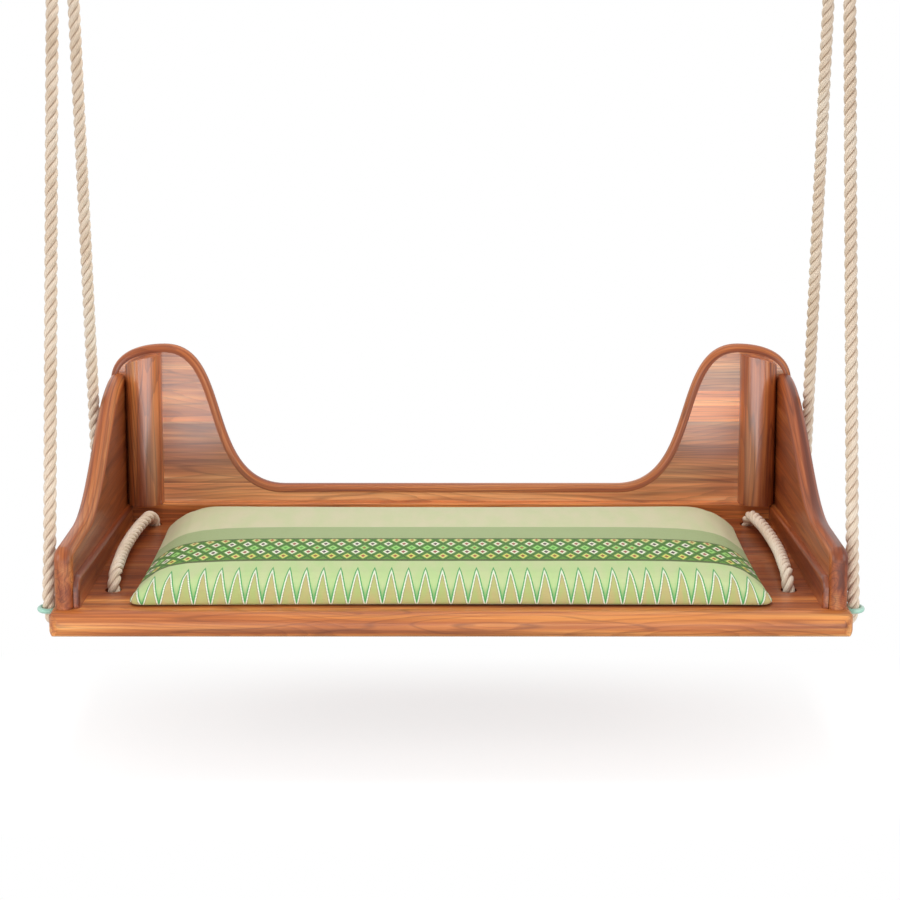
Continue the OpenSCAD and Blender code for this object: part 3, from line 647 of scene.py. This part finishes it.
def make_side_panels():
    def rounded(a, b):
        return max(a.y, b.y) > FLAT_WITHIN and min(a.x, b.x) < BACK_FACE - FLAT_WITHIN

    for side, sign in SIDES.items():
        bm = board_from(side_outline(), SIDE_THICK, SIDE_ROUND, rounded,
                        lambda y, up, deep: at_bed(sign * (SIDE_OUTER - deep), y, up))
        finish = (teak(f"teak_side_{side}", "y", seed=4.1 + sign, tint=SIDE_SHADE_TINTS[side],
                       streaks=0.5, figure=0.5),
                  teak(f"teak_side_edge_{side}", seed=3.2 + sign, tint=(0.7, 0.54, 0.4),
                       streaks=0.45, figure=0.5, coat=0.12, edge=True))
        panel = piece_from(bm, f"ogee_side_{side}", finish, "bed")
        weigh_normals(panel)
        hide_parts(f"side_panel_{side}")


def make_side_plinths():
    front, rear, inner = PLINTH_FRONT, PLINTH_REAR, SIDE_OUTER - SIDE_THICK
    outline = [(front, 0), (front, 0.040), (front + 0.004, 0.052), (front + 0.012, 0.061),
               (front + 0.024, 0.064), (rear - 0.030, 0.036), (rear, 0.036), (rear, 0)]

    def rounded(a, b):
        return max(a.y, b.y) > FLAT_WITHIN and min(a.x, b.x) < rear - FLAT_WITHIN

    for side, sign in SIDES.items():
        bm = board_from(outline, PLINTH_THICK, PLINTH_ROUND, rounded,
                        lambda y, up, deep: at_bed(sign * (inner - deep), y, up), both=False)
        finish = (teak(f"teak_plinth_{side}", "y", seed=7.7 + sign, tint=(0.58, 0.42, 0.31),
                       streaks=0.35, figure=0.4),
                  teak(f"teak_plinth_edge_{side}", seed=5.2 + sign, tint=(0.6, 0.44, 0.32),
                       streaks=0.35, figure=0.4, edge=True))
        plinth = piece_from(bm, f"sloped_plinth_{side}", finish, "bed")
        weigh_normals(plinth)
        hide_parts(f"side_plinth_{side}")


make_back_panel()
make_side_panels()
make_side_plinths()


def paint_node(name, finish):
    """Gives a solid that keeps its own shape a finish."""
    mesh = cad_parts[name].data
    if not mesh.materials:
        mesh.materials.append(finish)
    for i in range(len(mesh.materials)):
        mesh.materials[i] = finish


def finish_frame():
    # The front rail pales towards its ends: a painted highlight.
    smooth_copy("front_rail", "nosed_front_rail",
                teak("teak_front_rail", "x", seed=2.2, tint=(1.02, 0.97, 0.74), streaks=0.6,
                     figure=0.4, coat=0.3,
                     drifts=[(0, 0, 0.6, 0.8, (1.2, 1.34, 1.45))]))
    smooth_copy("back_rail", "nosed_back_rail",
                teak("teak_back_rail", "x", seed=3.9, streaks=0.5, coat=0.3))
    for side, sign in SIDES.items():
        smooth_copy(f"end_rail_{side}", f"rounded_end_rail_{side}",
                    teak(f"teak_end_rail_{side}", "y", seed=5.5 + sign, tint=(1.0, 0.92, 0.76),
                         coat=0.3))
        smooth_copy(f"corner_post_{side}", f"half_round_post_{side}",
                    teak(f"teak_post_{side}", "z", seed=8.2 + 2.1 * sign,
                         tint=(0.88, 0.78, 0.7), streaks=0.85, figure=0.6, coat=1.0,
                         lacquer=1.85, drifts=[(2, BED.z, 0.16, 0.3, (1.3, 1.22, 1.0))]))
    paint_node("deck_boards", teak("teak_deck", "x", seed=6.4, boards=DECK_BOARDS, axis=1,
                                   coat=0.3))
    # The back plinth's bright tint is painted light.
    paint_node("back_plinth", teak("teak_back_plinth", "x", seed=9.6, tint=(1.42, 1.5, 1.35),
                                   streaks=0.4, coat=0.3))
    under = teak("teak_under", "y", seed=11.0, tint=(0.62, 0.52, 0.46), coat=0.2)
    for name in ("bearers", "frame_dowels", "panel_dowels"):
        paint_node(name, under)


finish_frame()


# ----------------------------------------------------------------- metal

def mint_finish():
    f = Finish("mint_enamel")
    mottle = f.noise(f.place(scale=(70, 70, 70)), detail=4)
    wear = f.noise(f.place(scale=(260, 260, 260)), detail=3, roughness=0.7)
    colour = f.ramp(mottle, [(0.3, srgb(150, 205, 184)), (0.5, srgb(172, 219, 200)),
                             (0.75, srgb(196, 231, 214))])
    colour = f.mix(f.math("MULTIPLY", f.fade(wear, 0.68, 0.8), 0.5), colour, srgb(120, 168, 150))
    f.set(Base_Color=colour, Roughness=0.34, Normal=f.bump(wear, 0.0002, 0.5),
          Coat_Weight=0.4, Coat_Roughness=0.15)
    return f.material


def steel_finish():
    f = Finish("brushed_steel")
    brush = f.noise(f.place(scale=(900, 900, 12)), detail=3)
    cloud = f.noise(f.place(scale=(18, 18, 18)), detail=4)
    colour = f.ramp(cloud, [(0.3, srgb(168, 170, 172)), (0.7, srgb(200, 202, 204))])
    colour = f.mix(1, colour, f.grey(brush, 0.88, 1.08), "MULTIPLY")
    rough = f.node("ShaderNodeMapRange", Value=brush, To_Min=0.26, To_Max=0.42).outputs[0]
    f.set(Base_Color=colour, Metallic=1, Roughness=rough, Normal=f.bump(brush, 0.0001, 0.4))
    return f.material


def finish_fittings():
    mint, steel = mint_finish(), steel_finish()
    for side in SIDES:
        for name in (f"ring_eye_front_{side}", f"ring_eye_rear_{side}"):
            paint_node(name, mint)
        for kind in ("ceiling_plate", "swing_pin", "hanger_link", "sway_pin", "rope_sockets"):
            paint_node(f"{kind}_{side}", steel)


finish_fittings()


# --------------------------------------------------------------- cushion

PAD_HALF_WIDTH, PAD_FRONT, PAD_BACK, PAD_THICK = 0.645, 0.046, 0.678, 0.064
PAD_BASE = 0.0003             # the pad's clearance above the deck
# The pad starts a little wide, low and lifted, and its swell and smoothing undo that.
PAD_SPREAD, PAD_LOWERED, PAD_LIFTED = 0.003, 0.0035, 0.001
PAD_VOXEL = 0.0062
SWELL_PRESSURE, SWELL_FRAMES = 4, 20
SWELL_MOST = 0.0045           # the furthest that a point of the cloth may swell
HEM_HELD = 0.02               # the height below which the hem holds the cloth back
BACK_CORNER = 0.11            # the radius of the cover's back corners, seen from above
FAR_OFF = 3                   # back along the cloth's map to its plain lining
# The pad's surface, from its hem to its crown: inset from the front edge, from
# the two ends and from the back edge, and height, in millimetres.
PAD_LOOPS = [
    (7, 7, 7, 0), (1, 1, 1, 3.2), (0, 2, 0, 9), (1, 13, 2, 19.2), (4, 29, 9, 29.4),
    (10, 47, 34, 39.7), (22, 70, 68, 48.6), (44, 104, 104, 55.7), (84, 150, 142, 60.2),
    (140, 215, 190, 62.7), (205, 290, 245, 63.7), (316, 320, 316, 64),
]


def edge_run(profile, inset, height):
    """How far along a profile, from its crown outwards, each point lies."""
    spot = np.stack([inset, height], 1)
    best, arc, gone = np.full(len(inset), 1e9), np.zeros(len(inset)), 0.0
    for a, b in zip(profile[::-1], profile[-2::-1]):
        step = b - a
        length = np.linalg.norm(step)
        share = ((spot - a) @ step) / length**2
        share = np.clip(share, -1e9 if gone == 0 else 0, 1)
        gap = np.linalg.norm(spot - (a + share[:, None] * step), axis=1)
        closer = gap < best
        best[closer] = gap[closer]
        arc[closer] = gone + share[closer] * length
        gone += length
    return arc, gone


def cloth_places(points):
    """Where each point of the pad is on its flat cloth: across, and back from the front hem."""
    x, y, z = (points - np.array(BED)).T
    loops = np.array(PAD_LOOPS) / 1000
    front, end, back = (loops[:, [i, 3]] for i in range(3))
    inset_front, inset_end, inset_back = y - PAD_FRONT, PAD_HALF_WIDTH - abs(x), PAD_BACK - y

    def surface(profile, inset):
        return np.interp(inset, profile[2:, 0], profile[2:, 1])

    over_end = z * PAD_THICK / surface(end, inset_end)
    forward, hem = edge_run(front, inset_front, over_end)
    rearward, _ = edge_run(back, inset_back, over_end)
    middle = (PAD_FRONT + PAD_BACK) / 2
    return x, hem + np.where(y < middle, -forward, rearward)


def swell(pad):
    """Blows the pad up a little as cloth, and its hem not at all."""
    scene = bpy.context.scene
    count = len(pad.data.vertices)
    rest = np.zeros(count * 3, np.float32)
    pad.data.vertices.foreach_get("co", rest)
    cloth = pad.modifiers.new("cloth", "CLOTH")
    cloth.settings.quality = 5
    cloth.settings.use_pressure = True
    cloth.settings.uniform_pressure_force = SWELL_PRESSURE
    cloth.settings.effector_weights.gravity = 0
    cloth.point_cache.frame_start, cloth.point_cache.frame_end = 1, SWELL_FRAMES
    for number in range(1, SWELL_FRAMES + 1):
        scene.frame_set(number)
    shown = pad.evaluated_get(bpy.context.evaluated_depsgraph_get())
    swollen = np.zeros(count * 3, np.float32)
    shown.data.vertices.foreach_get("co", swollen)
    pad.modifiers.remove(cloth)
    scene.frame_set(1)
    rest, swollen = rest.reshape(-1, 3), swollen.reshape(-1, 3)
    move = swollen - rest
    size = np.linalg.norm(move, axis=1, keepdims=True)
    move *= np.minimum(1, SWELL_MOST / np.maximum(size, 1e-9))
    move *= np.clip((rest[:, 2:] - BED.z - PAD_BASE) / HEM_HELD, 0, 1)
    pad.data.vertices.foreach_set("co", (rest + move).ravel())


def pad_start():
    """The pad's outer skin, merged from its solid, with room left for its smoothing and swell."""
    bm = bmesh.new()
    bm.from_mesh(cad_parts["cushion_cover"].data)
    bmesh.ops.remove_doubles(bm, verts=bm.verts, dist=SAME_PLACE)
    # The hollow for the filling is an island of its own, so it goes.
    outer = max(bm.verts, key=lambda v: v.co.z)
    found, rest = {outer}, [outer]
    while rest:
        for edge in rest.pop().link_edges:
            for v in edge.verts:
                if v not in found:
                    found.add(v)
                    rest.append(v)
    bmesh.ops.delete(bm, geom=[v for v in bm.verts if v not in found], context="VERTS")
    middle = at_bed(0, (PAD_FRONT + PAD_BACK) / 2, 0)
    half = Vector((PAD_HALF_WIDTH, (PAD_BACK - PAD_FRONT) / 2))
    for v in bm.verts:
        for axis in (0, 1):
            wider = 1 + PAD_SPREAD / half[axis]
            v.co[axis] = middle[axis] + (v.co[axis] - middle[axis]) * wider
        height = v.co.z - BED.z - PAD_BASE
        v.co.z = BED.z + PAD_BASE + PAD_LIFTED + height * (1 - PAD_LOWERED / PAD_THICK)
    mesh = bpy.data.meshes.new("pad")
    bm.to_mesh(mesh)
    bm.free()
    return link("woven_pad", mesh)


def round_back_corners(mesh):
    """Draws the pad's back corners in to an even curve."""
    places = np.zeros(len(mesh.vertices) * 3, np.float32)
    mesh.vertices.foreach_get("co", places)
    places = places.reshape(-1, 3)
    centre_x, centre_y = PAD_HALF_WIDTH - BACK_CORNER, BED.y + PAD_BACK - BACK_CORNER
    side = np.sign(places[:, 0])
    across, back = abs(places[:, 0]) - centre_x, places[:, 1] - centre_y
    corner = (across > 0) & (back > 0)
    across, back, side = across[corner], back[corner], side[corner]
    # The solid's corner is nearly square, as a curve of the sixth power is.
    share = (across**6 + back**6) ** (1 / 6) / np.hypot(across, back)
    places[corner, 0] = side * (centre_x + across * share)
    places[corner, 1] = centre_y + back * share
    mesh.vertices.foreach_set("co", places.ravel())


def make_cushion():
    pad = pad_start()
    remesh = pad.modifiers.new("remesh", "REMESH")
    remesh.mode = "VOXEL"
    remesh.voxel_size = PAD_VOXEL
    shown = pad.evaluated_get(bpy.context.evaluated_depsgraph_get())
    mesh = bpy.data.meshes.new_from_object(shown)
    pad.modifiers.remove(remesh)
    pad.data = mesh
    round_back_corners(mesh)
    swell(pad)
    bm = bmesh.new()
    bm.from_mesh(pad.data)
    # Smoothed in and back out by turns, which keeps the hem where it is.
    for factor in (0.5, -0.52) * 3:
        bmesh.ops.smooth_vert(bm, verts=bm.verts, factor=factor, use_axis_x=True,
                              use_axis_y=True, use_axis_z=True)
    floor = BED.z + PAD_BASE
    for v in bm.verts:
        v.co.z = max(v.co.z, floor)
    bm.to_mesh(pad.data)
    bm.free()
    mesh = pad.data
    mesh.shade_smooth()
    add_cloth_map(mesh)
    mesh.materials.append(woven_finish())
    divide = pad.modifiers.new("subdivision", "SUBSURF")
    divide.levels = divide.render_levels = 1
    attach(pad, "cushion")
    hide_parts("cushion_cover", "cushion_core")


def add_cloth_map(mesh):
    """The cloth's own map, in metres, so that the pattern follows the cover."""
    count = len(mesh.vertices)
    places = np.zeros(count * 3, np.float32)
    mesh.vertices.foreach_get("co", places)
    across, back = cloth_places(places.reshape(-1, 3).astype(float))
    layer = mesh.uv_layers.new(name="cloth")
    corners = np.zeros(len(mesh.loops), np.int32)
    mesh.loops.foreach_get("vertex_index", corners)
    flat = np.stack([across[corners], back[corners]], 1)
    # The underside is plain lining, which the map puts far past the pattern.
    for face in mesh.polygons:
        if face.normal.z < -0.8:
            for corner in face.loop_indices:
                flat[corner, 1] += FAR_OFF
    layer.data.foreach_set("uv", flat.astype(np.float32).ravel())


LATTICE_PITCH, LATTICE_STEP, LATTICE_FIRST = 0.0329, 0.0275, 0.1754
LATTICE_LOW, LATTICE_HIGH, SAGE_HIGH = 0.1439, 0.2993, 0.3857
LOW_EDGING, HIGH_EDGING = 0.011, 0.006      # the dark lines along the lattice
SPEAR_PITCH, SPEAR_FOOT, SPEAR_TIP = 0.0343, -0.002, 0.0925
# The lines along a spear's sides, as distances outwards from its outline.
GREEN_LINE, WHITE_LINE, TAN_LINE = (0.0010, 0.0034), (-0.0017, 0.0011), (-0.0028, -0.0017)
STITCH_PITCH, THREAD_PITCH = 0.0034, 0.0009


def spear_border(f, across, back, ground):
    """The row of tall pointed triangles that stands on the front edge."""
    turn = f.math("ADD", f.math("DIVIDE", across, SPEAR_PITCH), 0.5)
    off = f.math("ABSOLUTE", f.math("SUBTRACT", turn, f.math("ROUND", turn)))
    off = f.math("MULTIPLY", off, SPEAR_PITCH)
    height = f.math("DIVIDE", f.math("SUBTRACT", back, SPEAR_FOOT), SPEAR_TIP - SPEAR_FOOT)
    line = f.math("MULTIPLY", f.math("SUBTRACT", 1, height), SPEAR_PITCH / 2)
    gap = f.math("SUBTRACT", off, line)
    low = f.fade(height, 0.7, 0.15)
    grow = f.noise(f.place(scale=(34, 10, 1), of=f.node(
        "ShaderNodeUVMap", {"uv_map": "cloth"}).outputs[0]), detail=2)
    # Between the spears the green deepens towards their feet.
    colour = f.mix(f.math("MULTIPLY", f.fade(gap, 0.0105, 0.002), low), ground,
                   srgb(84, 168, 88))
    inside = f.math("LESS_THAN", gap, 0)
    tan = f.mix(f.fade(grow, 0.35, 0.65), srgb(194, 182, 124), srgb(178, 192, 120))
    colour = f.mix(inside, colour, tan)
    colour = f.mix(f.between(gap, *GREEN_LINE), colour, srgb(84, 164, 96))
    colour = f.mix(f.between(gap, *TAN_LINE), colour, srgb(158, 140, 100))
    dots = f.math("SINE", f.math("MULTIPLY", back, 2 * math.pi / STITCH_PITCH))
    white = f.mix(f.fade(dots, -0.95, -0.3), srgb(176, 190, 148), srgb(244, 248, 228))
    return f.mix(f.between(gap, *WHITE_LINE), colour, white)


def diamond_lattice(f, across, back):
    """Five staggered rows of small diamonds on a dark green ground."""
    a = f.math("ADD", f.math("DIVIDE", across, LATTICE_PITCH), 0.5)
    b = f.math("DIVIDE", f.math("SUBTRACT", back, LATTICE_FIRST), 2 * LATTICE_STEP)
    one, two = f.math("ADD", a, b), f.math("SUBTRACT", a, b)
    cell_one, cell_two = f.math("ROUND", one), f.math("ROUND", two)
    off = f.math("MAXIMUM", f.math("ABSOLUTE", f.math("SUBTRACT", one, cell_one)),
                 f.math("ABSOLUTE", f.math("SUBTRACT", two, cell_two)))
    row = f.math("DIVIDE", f.math("ADD", f.math("SUBTRACT", cell_one, cell_two), 0.5), 5)
    cell = f.node("ShaderNodeCombineXYZ", X=cell_one, Y=cell_two)
    chance = f.node("ShaderNodeTexWhiteNoise", {"noise_dimensions": "2D"},
                    Vector=cell.outputs[0]).outputs["Value"]
    rims = f.ramp(row, [(0, srgb(222, 218, 112)), (0.2, srgb(242, 240, 222)),
                        (0.4, srgb(150, 216, 114)), (0.6, srgb(242, 238, 222)),
                        (0.8, srgb(216, 212, 140))], "CONSTANT")
    rims = f.mix(f.math("MULTIPLY", chance, 0.35), rims, srgb(214, 226, 160))
    hearts = f.ramp(row, [(0, srgb(150, 96, 40)), (0.2, srgb(78, 58, 56)),
                          (0.4, srgb(96, 158, 62)), (0.6, srgb(84, 64, 60)),
                          (0.8, srgb(170, 132, 64))], "CONSTANT")
    hearts = f.mix(f.math("MULTIPLY", f.fade(chance, 0.55, 0.6), 0.6), hearts, srgb(186, 84, 62))
    ground = f.mix(f.between(off, 0.42, 0.6), srgb(94, 146, 52), srgb(62, 106, 38))
    # No diamonds below the first row, where the ground closes the band.
    off = f.math("ADD", off, f.math("LESS_THAN", row, 0))
    colour = f.mix(f.math("LESS_THAN", off, 0.30), ground, rims)
    colour = f.mix(f.math("LESS_THAN", off, 0.15), colour, hearts)
    edge = f.math("MAXIMUM", f.math("LESS_THAN", back, LATTICE_LOW + LOW_EDGING),
                  f.math("GREATER_THAN", back, LATTICE_HIGH - HIGH_EDGING))
    return f.mix(edge, colour, srgb(84, 100, 52))


def woven_finish():
    """The cover's cloth: plain and sage bands, a diamond lattice and a spear border."""
    f = Finish("woven_cover_cloth")
    uv = f.node("ShaderNodeUVMap", {"uv_map": "cloth"}).outputs[0]
    split = f.node("ShaderNodeSeparateXYZ", Vector=uv)
    across, back = split.outputs[0], split.outputs[1]
    cloud = f.noise(f.place(scale=(26, 9, 1), of=uv), detail=2)
    front = f.mix(f.fade(cloud, 0.35, 0.65), srgb(198, 210, 156), srgb(188, 212, 148))
    colour = spear_border(f, across, back, front)
    colour = f.mix(f.math("GREATER_THAN", back, LATTICE_LOW), colour,
                   diamond_lattice(f, across, back))
    colour = f.mix(f.math("GREATER_THAN", back, LATTICE_HIGH), colour, srgb(164, 180, 128))
    plain = f.mix(f.fade(cloud, 0.3, 0.7), srgb(204, 208, 162), srgb(212, 208, 170))
    colour = f.mix(f.math("GREATER_THAN", back, SAGE_HIGH), colour, plain)
    # Threads: weft along the bands and warp across them.
    weft = f.math("SINE", f.math("MULTIPLY", back, 2 * math.pi / THREAD_PITCH))
    warp = f.math("SINE", f.math("MULTIPLY", across, 2 * math.pi / THREAD_PITCH))
    threads = f.math("MULTIPLY", weft, warp)
    slubs = f.noise(f.place(scale=(30, 1300, 1), of=uv), detail=3, roughness=0.6)
    colour = f.mix(1, colour, f.grey(slubs, 0.88, 1.1), "MULTIPLY")
    height = f.math("ADD", f.math("MULTIPLY", threads, 0.3), slubs)
    f.set(Base_Color=colour, Roughness=0.8, Normal=f.bump(height, 0.0003, 0.5),
          Sheen_Weight=0.2, Sheen_Roughness=0.4, Specular_IOR_Level=0.3)
    return f.material


make_cushion()


# ------------------------------------------------------- studio and light

FLOOR_DROP = 0.36             # the floor below the deck
FLOOR_HALF = 12
FLOOR_GREY = (0.62, 0.62, 0.62, 1)
FLOOR_GLOW = 0.68             # what the camera sees of the floor before light falls on it
WORLD_LIGHT = 0.45
WHITE = (1, 1, 1, 1)
SHADOW_MIDDLE, SHADOW_HALF = (0, 0.29), (1.6, 0.40)
SHADOW_FADE = (0.4, 1.4)      # in half sizes of the shadow, where the floor fades to white


def make_floor():
    bm = bmesh.new()
    bmesh.ops.create_grid(bm, x_segments=1, y_segments=1, size=FLOOR_HALF)
    bmesh.ops.translate(bm, verts=bm.verts, vec=at_bed(0, 0.39, -FLOOR_DROP))
    mesh = bpy.data.meshes.new("studio_floor")
    bm.to_mesh(mesh)
    bm.free()
    floor = link("studio_floor", mesh)
    f = Finish("studio_white")
    f.set(Base_Color=FLOOR_GREY, Roughness=0.9, Specular_IOR_Level=0)
    seen = f.node("ShaderNodeLightPath").outputs["Is Camera Ray"]
    middle = at_bed(*SHADOW_MIDDLE, 0)
    wide, long = SHADOW_HALF
    spot = f.place(scale=(1 / wide, 1 / long, 0), move=(-middle.x / wide, -middle.y / long, 0))
    away = f.node("ShaderNodeVectorMath", {"operation": "LENGTH"}, Vector=spot).outputs["Value"]
    paper = f.fade(away, *SHADOW_FADE)
    base = f.node("ShaderNodeEmission", Color=WHITE, Strength=FLOOR_GLOW)
    white = f.node("ShaderNodeEmission", Color=WHITE, Strength=1)
    lift = f.node("ShaderNodeAddShader")
    f.put(lift.inputs[0], f.shader.outputs[0])
    f.put(lift.inputs[1], base.outputs[0])
    far = f.node("ShaderNodeMixShader", Fac=paper)
    f.put(far.inputs[1], lift.outputs[0])
    f.put(far.inputs[2], white.outputs[0])
    show = f.node("ShaderNodeMixShader", Fac=seen)
    f.put(show.inputs[1], f.shader.outputs[0])
    f.put(show.inputs[2], far.outputs[0])
    out = f.tree.nodes["Material Output"]
    f.put(out.inputs["Surface"], show.outputs[0])
    mesh.materials.append(f.material)


def make_world():
    world = bpy.data.worlds.new("studio")
    bpy.context.scene.world = world
    world.use_nodes = True
    tree = world.node_tree
    soft = tree.nodes["Background"]
    soft.inputs["Color"].default_value = WHITE
    soft.inputs["Strength"].default_value = WORLD_LIGHT
    white = tree.nodes.new("ShaderNodeBackground")
    white.inputs["Color"].default_value = WHITE
    white.inputs["Strength"].default_value = 1
    path = tree.nodes.new("ShaderNodeLightPath")
    seen = path.outputs["Is Camera Ray"]
    for name in ("Is Glossy Ray", "Is Transmission Ray"):
        either = tree.nodes.new("ShaderNodeMath")
        either.operation = "MAXIMUM"
        tree.links.new(seen, either.inputs[0])
        tree.links.new(path.outputs[name], either.inputs[1])
        seen = either.outputs[0]
    mix = tree.nodes.new("ShaderNodeMixShader")
    tree.links.new(seen, mix.inputs[0])
    tree.links.new(soft.outputs[0], mix.inputs[1])
    tree.links.new(white.outputs[0], mix.inputs[2])
    tree.links.new(mix.outputs[0], tree.nodes["World Output"].inputs["Surface"])


def softbox(name, place, aim, size, power, mirrored=True):
    """A flat lamp. One that isn't mirrored lights the swing but isn't seen in its gloss."""
    data = bpy.data.lights.new(name, "AREA")
    data.shape = "RECTANGLE"
    data.size, data.size_y = size
    data.energy = power
    lamp = bpy.data.objects.new(name, data)
    lamp.visible_camera = False
    lamp.visible_glossy = mirrored
    lamp.location = at_bed(*place)
    way = at_bed(*aim) - lamp.location
    lamp.rotation_euler = way.to_track_quat("-Z", "Y").to_euler()
    bpy.context.scene.collection.objects.link(lamp)


def make_lights():
    softbox("overhead", (0, 0.5, 3.4), (0, 0.4, 0), (1.9, 2.0), 62, mirrored=False)
    softbox("left_box", (-3.4, -1.6, 1.0), (0, 0.4, 0.1), (1.2, 2.6), 42)
    softbox("right_box", (3.4, -1.6, 1.0), (0, 0.4, 0.1), (1.2, 2.6), 36)
    softbox("front_low", (0, -1.2, -0.13), (0, 0.7, 0.0), (3.2, 0.42), 10)


make_floor()
make_world()
make_lights()

scene = bpy.context.scene
scene.view_settings.view_transform = "Standard"
